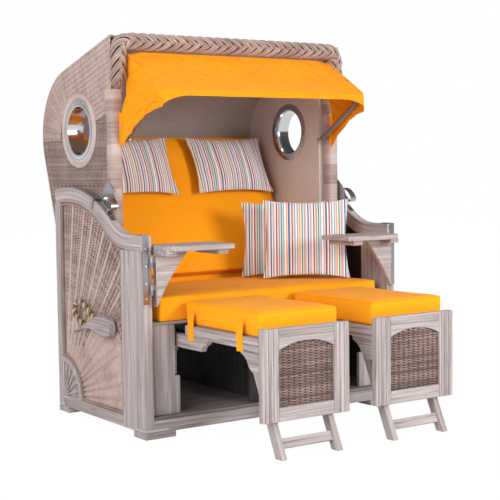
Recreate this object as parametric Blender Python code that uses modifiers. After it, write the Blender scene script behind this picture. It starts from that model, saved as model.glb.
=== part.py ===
"""Two-seat hooded beach chair: timber base with wicker sides, reclining wicker hood with a
fabric awning, two slide-out footrests with folding legs and two swing-out side tables.

Metres, +Z up, the chair looks along -Y. Left and right are those of someone facing the chair.
Every place below is measured from the floor under the middle of the front posts. At the end
the whole chair is slid along Y, so that the origin lies under the middle of its box.
"""
import bmesh
import bpy
from math import acos, asin, atan2, cos, hypot, pi, radians, sin, sqrt, tan
from mathutils import Matrix, Vector
from mathutils.bvhtree import BVHTree

# General values
GAP = 0.0003
HOUSING = 0.001
OVERRUN = 0.010
EASE = 0.002
ARC_STEP = radians(8.0)

# Base: overall case and its side frames
CASE_WIDTH = 1.300
CASE_DEPTH = 0.785
SIDE_THICK = 0.040
FOOT_HEIGHT = 0.026
FRONT_FOOT = (0.140, 0.100)
REAR_FOOT = (0.120, 0.095)
FRONT_POST_WIDTH = 0.185
REAR_POST_WIDTH = 0.044
BOTTOM_RAIL_HEIGHT = 0.048
BOTTOM_RAIL_THICK = 0.030
ARM_HEIGHT = 0.8155
ARM_RAIL_WIDTH = 0.062
ARM_SWEEP_RADIUS = 0.630
ARM_FLARE_RADIUS = 0.247
PIVOT_SETBACK = 0.125
PIVOT_DROP = 0.4455
PIVOT_POST_WIDTH = 0.080
PIVOT_POST_THICK = 0.012

# Corner carving of the side frames, and the fan of wicker rays
SUN_RADIUS = 0.175
SUN_RIM = 0.022
SUN_CORNER = 0.030
SUN_RAYS = 6
SUN_CUT_DEPTH = 0.008
RAY_COUNT = 13
RAY_STEPS = 4
RAY_HEIGHT = 0.005
WICKER_SKIN = 0.008

# Rope handles and their boards
HANDLE_THICK = 0.034
HANDLE_LENGTH = 0.328
HANDLE_END_Y = 0.232
HANDLE_BASE_Z = 0.376
HANDLE_RISE = 0.097
HANDLE_EDGE = 0.004
HANDLE_NOSE = 0.0437
HANDLE_NOSE_DROP = 0.0049
HANDLE_NOSE_START = radians(107.2)
HANDLE_NOSE_END = radians(231.6)
HANDLE_HOLLOW_SHARES = ((0.12, 0.13), (0.24, 0.10), (0.42, 0.25), (0.60, 0.33), (0.79, 0.24))
HANDLE_RISE_SHARES = ((0.97, 0.10), (0.75, 0.42), (0.53, 0.72), (0.38, 0.92), (0.26, 0.99))
HANDLE_SPACER_SHARES = ((0.14, 0.40), (0.34, 0.80))
ROPE_DIAMETER = 0.022
ROPE_SHARES = ((0.771, 0.366), (0.832, 0.495), (0.954, 0.64), (1.024, 0.825), (1.037, 1.093),
               (0.979, 1.33), (0.884, 1.42), (0.762, 1.31), (0.625, 1.05), (0.512, 0.763), (0.424, 0.505))

# Pivot bolts
PIN_BOLT_RADIUS = 0.008
PIN_BOLT_HEAD = 0.014
PIN_BOLT_HEAD_THICK = 0.005

# Hood: one roof slope, one crown arc and one leaning back, seen from the side
HOOD_CLEARANCE = 0.010
CROWN_Y = 0.703
CROWN_Z = 1.224
CROWN_RADIUS = 0.298
ROOF_SLOPE = radians(15.0)
BACK_LEAN = radians(18.0)
HOOD_BACK_BOTTOM = 0.440
HOOD_FRONT_BOTTOM = 0.600
HOOD_WICKER_BOTTOM = 0.620
HOOD_WICKER_THICK = 0.012
HOOD_WALL_THICK = 0.058
HOOD_LOBE_RADIUS = 0.045
LINING_THICK = 0.008
LINING_INSET = 0.029
BACKREST_LEAN = radians(25.9)
BACKREST_BOTTOM = 0.600
STILE_FRONT = 0.330
STILE_DEPTH = 0.060
STILE_WIDTH = 0.057
STILE_PROUD = 0.002
STILE_BOTTOM = 0.620
STILE_EDGE = 0.008
BRAID_DIAMETER = 0.076
BRAID_FRONT = 0.283
BRAID_TOP = 1.645
BRAID_PROUD = 0.006
BRAID_LOW_END = 1.400
BRAID_CORNER = 0.046

# Portholes
PORTHOLE_Y = 0.630
PORTHOLE_Z = 1.245
PORTHOLE_BORE = 0.105
PORTHOLE_TUBE = 0.003
PORTHOLE_OUTER_RADIUS = 0.139
PORTHOLE_INNER_RADIUS = 0.136
PORTHOLE_FLANGE = 0.004
PORTHOLE_LIP = 0.011
WICKER_RING_RADIUS = 0.160
WICKER_RING_PROUD = 0.004

# Recline catch: strip on each arm, guide clip and pull handle on the hood
STRIP_THICK = 0.003
STRIP_WIDTH = 0.022
STRIP_START = radians(91.0)
STRIP_END = radians(128.0)
STRIP_HOLES = 7
STRIP_HOLE_RADIUS = 0.0045
CLIP_THICK = 0.003
CLIP_ANGLE = radians(113.0)
CLIP_WIDTH = 0.020
CLIP_LEG = 0.052
CLIP_CLEARANCE = 0.008
CLIP_PLATE_START = radians(125.0)
CLIP_PLATE_TURN = radians(13.6)
CLIP_PLATE_DROP = 0.015
CLIP_PLATE_RISE = 0.108
CLIP_PLATE_SHARES = ((0, 0.352), (0.853, 0), (1, 0.296), (0.787, 1), (0.382, 0.861))
CATCH_ANGLE = radians(122.0)
CATCH_ARM_WIDTH = 0.026
CATCH_ARM_LIFT = 0.018
PIN_RADIUS = 0.004
LOOP_LENGTH = 0.096
LOOP_HEIGHT = 0.048
LOOP_WIDTH = 0.030
LOOP_STRAP = 0.003
LOOP_SIDES = 24

# Awning
BOW_PIVOT_Y = 0.360
BOW_PIVOT_Z = 1.200
BOW_FRONT_Y = 0.062
BOW_FRONT_Z = 1.383
BOW_HALF_WIDTH = 0.517
BOW_DIAMETER = 0.022
BOW_CORNER = 0.045
FABRIC_THICK = 0.0025
AWNING_TOP_Y = 0.318
AWNING_VALANCE = 0.030
AWNING_SKIRT = 0.080
AWNING_SAG = 0.012
AWNING_CORNER = 0.012
AWNING_TAIL_Z = 1.165
AWNING_CLEARANCE = 0.0024
AWNING_FOLD_SHARE = 0.85
AWNING_ACROSS_SHARES = (-2, -1.66, -1.33, -1, -0.75, -0.5, -0.25, 0, 0.25, 0.5, 0.75, 1, 1.33, 1.66, 2)
AWNING_BACK_SHARES = (0, 0.21, 0.42, 0.64, AWNING_FOLD_SHARE, 1)

# Inside the base: floor, boards and seat
FLOOR_THICK = 0.012
BOARD_FRONT_Y = 0.030
BOARD_THICK = 0.018
BOARD_INNER_X = 0.492
BOARD_STEP_X = 0.469
BOARD_STEP_Z = 0.241
BOARD_OUTER_X = 0.600
CENTRE_BOARD_HALF = 0.124
DIVIDER_HALF = 0.058
RUNNER_TOP = 0.3555
RUNNER_THICK = 0.022
RUNNER_START_Y = 0.095
RUNNER_HALF = 0.022
SEAT_UNDERSIDE = 0.4515
SEAT_BOARD_THICK = 0.012
SEAT_REAR_Y = 0.600
REAR_FRAME_TOP = 0.345
REAR_FRAME_THICK = 0.040
REAR_FRAME_RAIL = 0.050
GROOVE_DEPTH = 0.008

# Footrests
FOOTREST_X = 0.271
FOOTREST_HALF = 0.203
FOOTREST_FRONT_Y = -0.565
PANEL_THICK = 0.030
PANEL_LOW = 0.138
PANEL_HIGH = 0.487
PANEL_OPENING_HALF = 0.130
PANEL_OPENING_LOW = 0.190
PANEL_SPRING = 0.403
PANEL_CROWN = 0.433
SIDE_RAIL_THICK = 0.026
SIDE_RAIL_TOP = 0.450
SIDE_RAIL_LOW = 0.404
SIDE_RAIL_END_Y = -0.020
TAIL_LOW = 0.356
TAIL_HIGH = 0.409
TAIL_END_Y = 0.160
TAIL_START_Y = -0.140
BRACKET_LOW = 0.317
BRACKET_REAR_Y = -0.410
BRACKET_SHELF_Y = -0.505
OGEE_SHARES = ((0, 0), (0.22, 0.10), (0.38, 0.28), (0.50, 0.50), (0.68, 0.68), (0.92, 0.80), (1, 1))
TAIL_SHARES = ((0, 0), (0.15, 0.30), (0.45, 0.42), (0.80, 0.60), (1.0, 1.0))
FOOTREST_DECK = 0.012
LEG_PIVOT_Y = -0.385
LEG_PIVOT_Z = 0.415
LEG_TILT = radians(24.6)
LEG_WIDTH = 0.037
LEG_THICK = 0.025
LEG_OUTER = 0.144
LEG_PIN_RADIUS = 0.008
RUNG_WIDTH = 0.037
RUNG_THICK = 0.018
RUNG_HEIGHT = 0.052

# Side tables
TABLE_TOP_Z = 0.776
TABLE_THICK = 0.020
TABLE_INNER_X = 0.292
TABLE_OUTER_X = 0.596
TABLE_FRONT_Y = -0.135
TABLE_REAR_Y = 0.069
TABLE_CHAMFER = 0.045
BATTEN_HEIGHT = 0.020
BATTEN_WIDTH = 0.050
BATTEN_SETBACK = 0.016
BATTEN_FAR_X = 0.322
HINGE_X = 0.617
HINGE_Y = -0.011
HINGE_LOW = 0.535
KNUCKLE_RADIUS = 0.0065
KNUCKLE_HEIGHT = 0.020
HINGE_PIN_RADIUS = 0.003
KNUCKLE_LOW_Z = 0.580
KNUCKLE_HIGH_Z = 0.690
STRAP_THICK = 0.003
STRAP_WIDTH = 0.025
STRAP_LOW = 0.543
STRAP_REACH = 0.060
LEAF_THICK = 0.003
TABLE_BOARD_THICK = 0.022
TABLE_BOARD_Y = -0.024
TABLE_BOARD_REACH = 0.455
TABLE_BOARD_HOLLOW = 0.010
TABLE_BOARD_STEPS = 8

# Cushions
SEAT_CUSHION = (1.150, 0.575, 0.106)
SEAT_CUSHION_FRONT = 0.012
BACK_CUSHION = (1.030, 0.092, 0.720)
BACK_CUSHION_LOW = (0.546, 0.596)
FOOT_CUSHION = (0.392, 0.540, 0.098)
THROW_PILLOW = (0.420, 0.105, 0.385)
NECK_PILLOW = (0.410, 0.095, 0.262)
NECK_PILLOW_X = 0.258
NECK_PILLOW_UP = 0.415
PILLOW_YAW = radians(-35.4)
PILLOW_LEAN = radians(8.0)
FRONT_PILLOW = (0.330, 0.232)
REAR_PILLOW_BACK = 0.112
REAR_PILLOW_SIDE = 0.100
CUSHION_CROWN = 0.010
CUSHION_DRAW = 0.010
CUSHION_EDGE = 0.010
PILLOW_EDGE_SHARE = 0.16
PILLOW_DRAW = 0.020
PILLOW_PUFF_SHARE = 0.6

# Values worked out from the sizes above
HALF_WIDTH = CASE_WIDTH / 2
SIDE_INNER = HALF_WIDTH - SIDE_THICK
SIDE_MIDDLE = HALF_WIDTH - SIDE_THICK / 2
HOOD_HALF_WIDTH = SIDE_INNER - HOOD_CLEARANCE
PIVOT_Y = CASE_DEPTH - PIVOT_SETBACK
PIVOT_Z = ARM_HEIGHT - PIVOT_DROP
WICKER_X = SIDE_MIDDLE + PIVOT_POST_THICK / 2
RAIL_TOP = FOOT_HEIGHT + BOTTOM_RAIL_HEIGHT
FLOOR_TOP = RAIL_TOP + GAP + FLOOR_THICK
BOARD_LOW = FLOOR_TOP + GAP
SEAT_TOP = SEAT_UNDERSIDE + SEAT_BOARD_THICK
HOOD_WALL_OUTER = HOOD_HALF_WIDTH - HOOD_WICKER_THICK - GAP
HOOD_WALL_INNER = HOOD_WALL_OUTER - HOOD_WALL_THICK
HOOD_SKIN_INSET = HOOD_WICKER_THICK + GAP
STILE_OUTER = HOOD_HALF_WIDTH + STILE_PROUD
STILE_REAR = STILE_FRONT + STILE_DEPTH + GAP
BRAID_RADIUS = BRAID_DIAMETER / 2
BRAID_Y = BRAID_FRONT + BRAID_RADIUS
BRAID_Z = BRAID_TOP - BRAID_RADIUS
BRAID_X = STILE_OUTER + BRAID_PROUD - BRAID_RADIUS
BRAID_REAR = BRAID_Y + BRAID_RADIUS + GAP
SIDES = {"left": -1, "right": 1}


def material(name, colour, roughness, metallic=0.0):
    """A Principled BSDF in one colour."""
    made = bpy.data.materials.new(name)
    made.use_nodes = True
    shader = made.node_tree.nodes["Principled BSDF"]
    shader.inputs["Base Color"].default_value = (*colour, 1.0)
    shader.inputs["Roughness"].default_value = roughness
    shader.inputs["Metallic"].default_value = metallic
    made.diffuse_color = (*colour, 1.0)
    return made


def register(piece, name, shade, parent):
    """Name a piece, give it a material of its own and hang it under its body's empty."""
    piece.name = name
    piece.data.name = name
    piece.data.materials.clear()
    piece.data.materials.append(material(name, *shade))
    adopt(piece, parent)
    for holder in list(piece.users_collection):
        holder.objects.unlink(piece)
    chair_collection.objects.link(piece)
    return piece


def adopt(piece, parent):
    """Parent a piece and keep it where it stands."""
    bpy.context.view_layer.update()
    piece.parent = parent
    piece.matrix_parent_inverse = parent.matrix_world.inverted()


def empty(name, place, parent=None):
    """An empty at a body's joint."""
    made = bpy.data.objects.new(name, None)
    made.location = place
    chair_collection.objects.link(made)
    if parent:
        adopt(made, parent)
    return made


def welded(piece):
    """Turn a curve into a mesh whose caps are welded on."""
    bpy.context.view_layer.update()
    evaluated = piece.evaluated_get(bpy.context.evaluated_depsgraph_get())
    mesh = bpy.data.meshes.new_from_object(evaluated)
    work = bmesh.new()
    work.from_mesh(mesh)
    bmesh.ops.remove_doubles(work, verts=work.verts, dist=HOUSING / 20)
    bmesh.ops.recalc_face_normals(work, faces=work.faces)
    work.to_mesh(mesh)
    work.free()
    made = bpy.data.objects.new(piece.name, mesh)
    made.matrix_world = piece.matrix_world
    bpy.context.scene.collection.objects.link(made)
    bpy.data.objects.remove(piece)
    return made


FACING = {
    "X": Matrix(((0, 0, 1), (1, 0, 0), (0, 1, 0))).to_4x4(),
    "Y": Matrix(((1, 0, 0), (0, 0, -1), (0, 1, 0))).to_4x4(),
    "Z": Matrix.Identity(4),
}
AXES = {"X": (1, 2, 0), "Y": (0, 2, 1), "Z": (0, 1, 2)}


def plate(loops, low, high, facing):
    """A flat board between two planes: a closed outline, then its openings."""
    data = bpy.data.curves.new("plate", "CURVE")
    data.dimensions = "2D"
    data.fill_mode = "BOTH"
    data.extrude = abs(high - low) / 2
    first = loops[0]
    middle = [sum(point[axis] for point in first) / len(first) for axis in (0, 1)]
    for loop in loops:
        spline = data.splines.new("POLY")
        spline.points.add(len(loop) - 1)
        for handle, point in zip(spline.points, loop):
            handle.co = (point[0] - middle[0], point[1] - middle[1], 0, 1)
        spline.use_cyclic_u = True
    piece = bpy.data.objects.new("plate", data)
    place = [0, 0, 0]
    across, up, through = AXES[facing]
    place[across] = middle[0]
    place[up] = middle[1]
    place[through] = (low + high) / 2
    piece.matrix_world = Matrix.Translation(place) @ FACING[facing]
    bpy.context.scene.collection.objects.link(piece)
    return welded(piece)


def block(low, high, ease=0):
    """A box between two corners, with eased edges where asked."""
    bpy.ops.mesh.primitive_cube_add(size=1)
    piece = bpy.context.object
    piece.location = [(a + b) / 2 for a, b in zip(low, high)]
    piece.scale = [abs(b - a) for a, b in zip(low, high)]
    bpy.ops.object.transform_apply(location=False, rotation=False, scale=True)
    return eased(piece, ease) if ease else piece


def rod(start, end, radius, sides=16):
    """A round bar between two points."""
    start = Vector(start)
    along = Vector(end) - start
    bpy.ops.mesh.primitive_cylinder_add(vertices=sides, radius=radius, depth=along.length)
    piece = bpy.context.object
    piece.location = start + along / 2
    piece.rotation_euler = along.to_track_quat("Z", "Y").to_euler()
    return smooth(piece)


def smooth(piece):
    """Shade a round piece smooth between its sharp edges."""
    piece.data.shade_smooth()
    piece.data.set_sharp_from_angle(angle=radians(40.0))
    return piece


def tube(points, radius, resolution=2, closed=False):
    """A round bar along a path."""
    data = bpy.data.curves.new("tube", "CURVE")
    data.dimensions = "3D"
    data.bevel_depth = radius
    data.bevel_resolution = resolution
    data.use_fill_caps = True
    spline = data.splines.new("POLY")
    spline.points.add(len(points) - 1)
    for handle, point in zip(spline.points, points):
        handle.co = (*point, 1)
    spline.use_cyclic_u = closed
    piece = bpy.data.objects.new("tube", data)
    bpy.context.scene.collection.objects.link(piece)
    return smooth(welded(piece))


def turned(profile, steps, place, side):
    """A closed profile of (distance out, radius) points, turned about a line along X."""
    mesh = bpy.data.meshes.new("turned")
    corners = [(radius, 0, -out) for out, radius in profile]
    count = len(corners)
    mesh.from_pydata(corners, [(i, (i + 1) % count) for i in range(count)], [])
    piece = bpy.data.objects.new("turned", mesh)
    screw = piece.modifiers.new("turn", "SCREW")
    screw.axis = "Z"
    screw.steps = screw.render_steps = steps
    screw.use_merge_vertices = True
    screw.merge_threshold = HOUSING / 20
    screw.use_normal_calculate = True
    screw.use_smooth_shade = True
    piece.location = place
    piece.rotation_euler = (0, -side * pi / 2, 0)
    bpy.context.scene.collection.objects.link(piece)
    return piece


def eased(piece, width=EASE, angle=radians(35.0)):
    """Ease the sharp outward edges of a piece and leave its inner corners square."""
    work = bmesh.new()
    work.from_mesh(piece.data)
    weight = work.edges.layers.float.new("bevel_weight_edge")
    for edge in work.edges:
        edge[weight] = edge.is_convex and edge.calc_face_angle(0) > angle
    work.to_mesh(piece.data)
    work.free()
    bevel = piece.modifiers.new("ease", "BEVEL")
    bevel.width = width
    bevel.segments = 1
    bevel.limit_method = "WEIGHT"
    return piece


def combine(piece, tool, operation):
    """Add a tool to a piece, take it away or keep what they share."""
    bpy.context.view_layer.update()
    change = piece.modifiers.new(operation.lower(), "BOOLEAN")
    change.operation = operation
    change.solver = "EXACT"
    change.object = tool
    baked = bpy.data.meshes.new_from_object(
        piece.evaluated_get(bpy.context.evaluated_depsgraph_get()))
    piece.modifiers.clear()
    piece.data = baked
    bpy.data.objects.remove(tool)
    return piece


def union(piece, *tools):
    """Glue pieces into one."""
    for tool in tools:
        piece = combine(piece, tool, "UNION")
    return piece


def cut(piece, *tools):
    """Cut pieces out of another."""
    for tool in tools:
        piece = combine(piece, tool, "DIFFERENCE")
    return piece


def span(side, inner, outer):
    """The low and high X of something that reaches from inner to outer on one side."""
    return sorted((side * inner, side * outer))


def slab(side, inner, outer, y_range, z_range, ease=0):
    """A box on one side of the chair."""
    low_x, high_x = span(side, inner, outer)
    return block((low_x, y_range[0], z_range[0]), (high_x, y_range[1], z_range[1]), ease)


def board(side, loops, inner, outer):
    """A plate facing X on one side of the chair."""
    low_x, high_x = span(side, inner, outer)
    return plate(loops, low_x, high_x, "X")


def arc(centre, radius, start, end, step=ARC_STEP):
    """Points on an arc, ends included."""
    count = max(2, round(abs(end - start) / step))
    angles = [start + (end - start) * i / count for i in range(count + 1)]
    return [(centre[0] + radius * cos(a), centre[1] + radius * sin(a)) for a in angles]


def turn(point, centre, angle):
    """A point turned about a centre in its plane."""
    y, z = point[0] - centre[0], point[1] - centre[1]
    return centre[0] + y * cos(angle) - z * sin(angle), centre[1] + y * sin(angle) + z * cos(angle)


# Arm line of the side frames

def arm_line(inset, front_y, rear_y):
    """Top of the side frame from front to rear: flat arm, hollow flare, sweep about the pivot."""
    flare = ARM_FLARE_RADIUS + inset
    sweep = ARM_SWEEP_RADIUS - inset
    centre_z = ARM_HEIGHT + ARM_FLARE_RADIUS
    rise = centre_z - PIVOT_Z
    centre_y = PIVOT_Y - sqrt((ARM_SWEEP_RADIUS + ARM_FLARE_RADIUS) ** 2 - rise ** 2)
    meet = atan2(rise, centre_y - PIVOT_Y)
    start = -pi / 2 if front_y < centre_y else -acos((front_y - centre_y) / flare)
    end = acos((rear_y - PIVOT_Y) / sweep)
    line = [(front_y, ARM_HEIGHT - inset)] if front_y < centre_y else []
    line += arc((centre_y, centre_z), flare, start, meet - pi)
    line += arc((PIVOT_Y, PIVOT_Z), sweep, meet, end)[1:]
    return line


def side_opening(clearance):
    """Opening of the side frame without the carved corner."""
    rear = CASE_DEPTH - REAR_POST_WIDTH - clearance
    front = FRONT_POST_WIDTH + clearance
    low = RAIL_TOP + clearance
    corner = (CASE_DEPTH - REAR_POST_WIDTH, RAIL_TOP)
    radius = SUN_RADIUS + clearance
    start = asin(clearance / radius)
    rim = arc(corner, radius, pi - start, pi / 2 + start)
    return [(front, low)] + rim + arm_line(ARM_RAIL_WIDTH + clearance, front, rear)[::-1]


def sun_cutters(side):
    """Wedges cut into the carved corner like rays of a small sun."""
    centre = Vector((CASE_DEPTH - REAR_POST_WIDTH, RAIL_TOP))
    inner = SUN_CORNER
    outer = SUN_RADIUS - SUN_RIM
    pitch = pi / 2 / SUN_RAYS
    wedges = []
    for ray in range(SUN_RAYS):
        middle = pi / 2 + pitch * (ray + 1 / 2)
        near = [centre + inner * Vector((cos(middle), sin(middle)))]
        far = [centre + outer * Vector((cos(middle + a), sin(middle + a)))
               for a in (-pitch / 3, pitch / 3)]
        wedges.append(board(side, [[tuple(p) for p in near + far]],
                            HALF_WIDTH - SUN_CUT_DEPTH, HALF_WIDTH + OVERRUN))
    return wedges


def side_frame(name, side):
    """Posts, rails, swept arm and carved corner, glued into one frame."""
    outline = [(0, FOOT_HEIGHT)] + arm_line(0, 0, CASE_DEPTH) + [(CASE_DEPTH, FOOT_HEIGHT)]
    frame = eased(board(side, [outline, side_opening(0)], SIDE_INNER, HALF_WIDTH))
    top_z = PIVOT_Z + ARM_SWEEP_RADIUS - ARM_RAIL_WIDTH
    post = slab(side, SIDE_INNER, SIDE_INNER + PIVOT_POST_THICK,
                (PIVOT_Y - PIVOT_POST_WIDTH / 2, PIVOT_Y + PIVOT_POST_WIDTH / 2),
                (RAIL_TOP - HOUSING, top_z))
    frame = union(frame, post)
    hole = rod((side * (SIDE_INNER - OVERRUN), PIVOT_Y, PIVOT_Z),
               (side * (SIDE_INNER + PIVOT_POST_THICK + OVERRUN), PIVOT_Y, PIVOT_Z),
               PIN_BOLT_RADIUS + GAP)
    frame = cut(frame, hole, *sun_cutters(side))
    return register(frame, name + "_side_frame", WOOD, base)


def side_wicker(name, side):
    """Woven infill whose broad rays fan out of the carved corner."""
    corner = (CASE_DEPTH - REAR_POST_WIDTH, RAIL_TOP)
    reach = hypot(CASE_DEPTH, ARM_HEIGHT)
    columns = RAY_COUNT * RAY_STEPS
    work = bmesh.new()
    bmesh.ops.create_grid(work, x_segments=columns, y_segments=1, size=1)
    middle_x = side * WICKER_X
    for vert in work.verts:
        turn_share = (vert.co.x + 1) / 2
        out_share = (vert.co.y + 1) / 2
        angle = pi / 2 + turn_share * pi / 2
        radius = SUN_RADIUS / 2 + out_share * (reach - SUN_RADIUS / 2)
        rib = abs(sin(turn_share * RAY_COUNT * pi))
        vert.co = (middle_x + side * RAY_HEIGHT * (rib - 1),
                   corner[0] + radius * cos(angle), corner[1] + radius * sin(angle))
    mesh = bpy.data.meshes.new("fan")
    work.to_mesh(mesh)
    work.free()
    fan = bpy.data.objects.new("fan", mesh)
    bpy.context.scene.collection.objects.link(fan)
    for vert in fan.data.vertices:
        vert.co.y = corner[0] + (vert.co.y - corner[0]) * (1 + HOUSING) + OVERRUN
        vert.co.z = corner[1] + (vert.co.z - corner[1]) * (1 + HOUSING) - OVERRUN
    thick = fan.modifiers.new("skin", "SOLIDIFY")
    thick.thickness = WICKER_SKIN
    thick.offset = 0
    thick.use_even_offset = True
    bound = board(side, [side_opening(GAP)], SIDE_INNER - OVERRUN, HALF_WIDTH + OVERRUN)
    panel = combine(bound, fan, "INTERSECT")
    return register(panel, name + "_side_wicker", WICKER, base)


def handle_outline():
    """Boat-shaped board: a low hollow below and a long rise above."""
    front = HANDLE_END_Y
    rear = HANDLE_END_Y + HANDLE_LENGTH
    low = HANDLE_BASE_Z
    high = HANDLE_BASE_Z + HANDLE_RISE
    below = [(front + HANDLE_LENGTH * share, low + HANDLE_RISE * lift)
             for share, lift in HANDLE_HOLLOW_SHARES]
    above = [(front + HANDLE_LENGTH * share, low + HANDLE_RISE * lift)
             for share, lift in HANDLE_RISE_SHARES]
    nose_arc = arc((front + HANDLE_NOSE, high - HANDLE_NOSE - HANDLE_NOSE_DROP), HANDLE_NOSE,
                   HANDLE_NOSE_START, HANDLE_NOSE_END)
    return below + [(rear, low)] + above + nose_arc


def handle_board(name, side):
    """Wooden handle board on a spacer over the wicker, which the rope is knotted through."""
    low = HALF_WIDTH + GAP
    piece = board(side, [handle_outline()], low, low + HANDLE_THICK)
    along, up = HANDLE_SPACER_SHARES
    spacer = slab(side, WICKER_X + WICKER_SKIN / 2 + GAP, low + OVERRUN,
                  [HANDLE_END_Y + HANDLE_LENGTH * share for share in along],
                  [HANDLE_BASE_Z + HANDLE_RISE * share for share in up])
    return register(eased(union(piece, spacer), HANDLE_EDGE), name + "_handle_board", WOOD, base)


def rope_handle(name, side):
    """Stiff rope loop that stands out of the handle board."""
    x = side * (HALF_WIDTH + GAP + HANDLE_THICK / 2)
    route = [Vector((x, HANDLE_END_Y + HANDLE_LENGTH * a, HANDLE_BASE_Z + HANDLE_RISE * b))
             for a, b in ROPE_SHARES]
    points = smooth_route(route, 3)
    rope = tube(points, ROPE_DIAMETER / 2)
    block_out = board(side, [handle_outline()], HALF_WIDTH - OVERRUN,
                      HALF_WIDTH + HANDLE_THICK + OVERRUN)
    swell = block_out.modifiers.new("swell", "DISPLACE")
    swell.strength = GAP
    swell.mid_level = 0
    rope = cut(rope, block_out)
    return register(rope, name + "_rope_handle", ROPE, base)


def smooth_route(route, per_span):
    """A smooth curve through a route's points."""
    padded = [route[0] * 2 - route[1]] + route + [route[-1] * 2 - route[-2]]
    points = []
    for i in range(1, len(padded) - 2):
        a, b, c, d = padded[i - 1:i + 3]
        for step in range(per_span):
            t = step / per_span
            points.append((b * 2 + (c - a) * t + (a * 2 - b * 5 + c * 4 - d) * t * t
                           + (b * 3 - a - c * 3 + d) * t * t * t) / 2)
    return points + [padded[-2]]


# Bottom rails, feet, floor, boards and rear

def foot(side, size, y_range):
    """A block under one corner."""
    low_x, high_x = span(side, HALF_WIDTH - size[0], HALF_WIDTH)
    return block((low_x, y_range[0], 0), (high_x, y_range[1], FOOT_HEIGHT - GAP), EASE)


def front_rail():
    """Front bottom rail with the two front feet."""
    rail = block((-SIDE_INNER + GAP, 0, FOOT_HEIGHT - GAP - HOUSING),
                 (SIDE_INNER - GAP, BOTTOM_RAIL_THICK, RAIL_TOP), EASE)
    feet = [foot(side, FRONT_FOOT, (0, FRONT_FOOT[1])) for side in SIDES.values()]
    return register(union(rail, *feet), "front_bottom_rail", WOOD, base)


def rear_frame():
    """Rear frame of posts, rails and a middle post, with the two rear feet."""
    front_y = CASE_DEPTH - REAR_FRAME_THICK
    half = SIDE_INNER - GAP
    low = FOOT_HEIGHT - GAP - HOUSING
    inner_half = half - REAR_FRAME_RAIL
    post_half = REAR_FRAME_RAIL / 2
    opening_low = RAIL_TOP
    opening_high = REAR_FRAME_TOP - REAR_FRAME_RAIL
    outline = [(-half, low), (half, low), (half, REAR_FRAME_TOP), (-half, REAR_FRAME_TOP)]
    bays = [[(a, opening_low), (b, opening_low), (b, opening_high), (a, opening_high)]
            for a, b in ((-inner_half, -post_half), (post_half, inner_half))]
    frame = eased(plate([outline] + bays, front_y, CASE_DEPTH, "Y"))
    feet = [foot(side, REAR_FOOT, (CASE_DEPTH - REAR_FOOT[1], CASE_DEPTH))
            for side in SIDES.values()]
    groove_y = CASE_DEPTH - REAR_FRAME_THICK / 2
    groove = block((-inner_half - GROOVE_DEPTH, groove_y - WICKER_SKIN / 2, opening_low - GROOVE_DEPTH),
                   (inner_half + GROOVE_DEPTH, groove_y + WICKER_SKIN / 2, opening_high + GROOVE_DEPTH))
    return register(cut(union(frame, *feet), groove), "rear_frame", WOOD, base)


def rear_wicker():
    """Woven sheet that slides in the groove of the rear frame."""
    inner_half = SIDE_INNER - GAP - REAR_FRAME_RAIL + GROOVE_DEPTH - GAP
    middle_y = CASE_DEPTH - REAR_FRAME_THICK / 2
    low = RAIL_TOP - GROOVE_DEPTH + GAP
    high = REAR_FRAME_TOP - REAR_FRAME_RAIL + GROOVE_DEPTH - GAP
    half = WICKER_SKIN / 2 - GAP
    piece = block((-inner_half, middle_y - half, low), (inner_half, middle_y + half, high))
    return register(piece, "rear_wicker", WICKER, base)


def floor_board():
    """Board over the bottom rails."""
    piece = block((-SIDE_INNER + GAP, EASE * 2, RAIL_TOP + GAP),
                  (SIDE_INNER - GAP, CASE_DEPTH - REAR_FRAME_THICK - GAP, FLOOR_TOP), EASE)
    return register(piece, "floor_board", WOOD, base)


def front_board(name, side):
    """Stepped board beside a footrest, with the runner that carries its outer rail."""
    inner, step, outer = BOARD_INNER_X, BOARD_STEP_X, BOARD_OUTER_X
    top = SEAT_UNDERSIDE - GAP
    outline = [(side * x, z) for x, z in (
        (outer, BOARD_LOW), (step, BOARD_LOW), (step, BOARD_STEP_Z),
        (inner, BOARD_STEP_Z), (inner, top), (outer, top))]
    face = eased(plate([outline], BOARD_FRONT_Y, BOARD_FRONT_Y + BOARD_THICK, "Y"))
    rail_x = FOOTREST_X + FOOTREST_HALF - SIDE_RAIL_THICK / 2
    near = rail_x - RUNNER_HALF
    neck = inner + EASE
    far = neck + RUNNER_HALF
    rear = CASE_DEPTH - REAR_FRAME_THICK - GAP
    runner = [(side * x, y) for x, y in (
        (near, RUNNER_START_Y), (neck, RUNNER_START_Y), (neck, BOARD_FRONT_Y + BOARD_THICK / 2),
        (far, BOARD_FRONT_Y + BOARD_THICK / 2), (far, rear), (near, rear))]
    shelf = plate([runner], RUNNER_TOP - RUNNER_THICK, RUNNER_TOP, "Z")
    return register(union(face, shelf), name + "_front_board", WOOD, base)


def centre_divider():
    """Upright divider between the footrests, with its front board and two runners."""
    top = SEAT_UNDERSIDE - GAP
    rear = CASE_DEPTH - REAR_FRAME_THICK - GAP
    board_rear = BOARD_FRONT_Y + BOARD_THICK
    divider = block((-DIVIDER_HALF, board_rear - HOUSING, BOARD_LOW), (DIVIDER_HALF, rear, top))
    face = block((-CENTRE_BOARD_HALF, BOARD_FRONT_Y, BOARD_LOW),
                 (CENTRE_BOARD_HALF, board_rear, BOARD_STEP_Z), EASE)
    reach = FOOTREST_X - FOOTREST_HALF + SIDE_RAIL_THICK / 2 + RUNNER_HALF / 2
    shelf = block((-reach, RUNNER_START_Y, RUNNER_TOP - RUNNER_THICK), (reach, rear, RUNNER_TOP))
    return register(union(divider, face, shelf), "centre_divider", WOOD, base)


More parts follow.
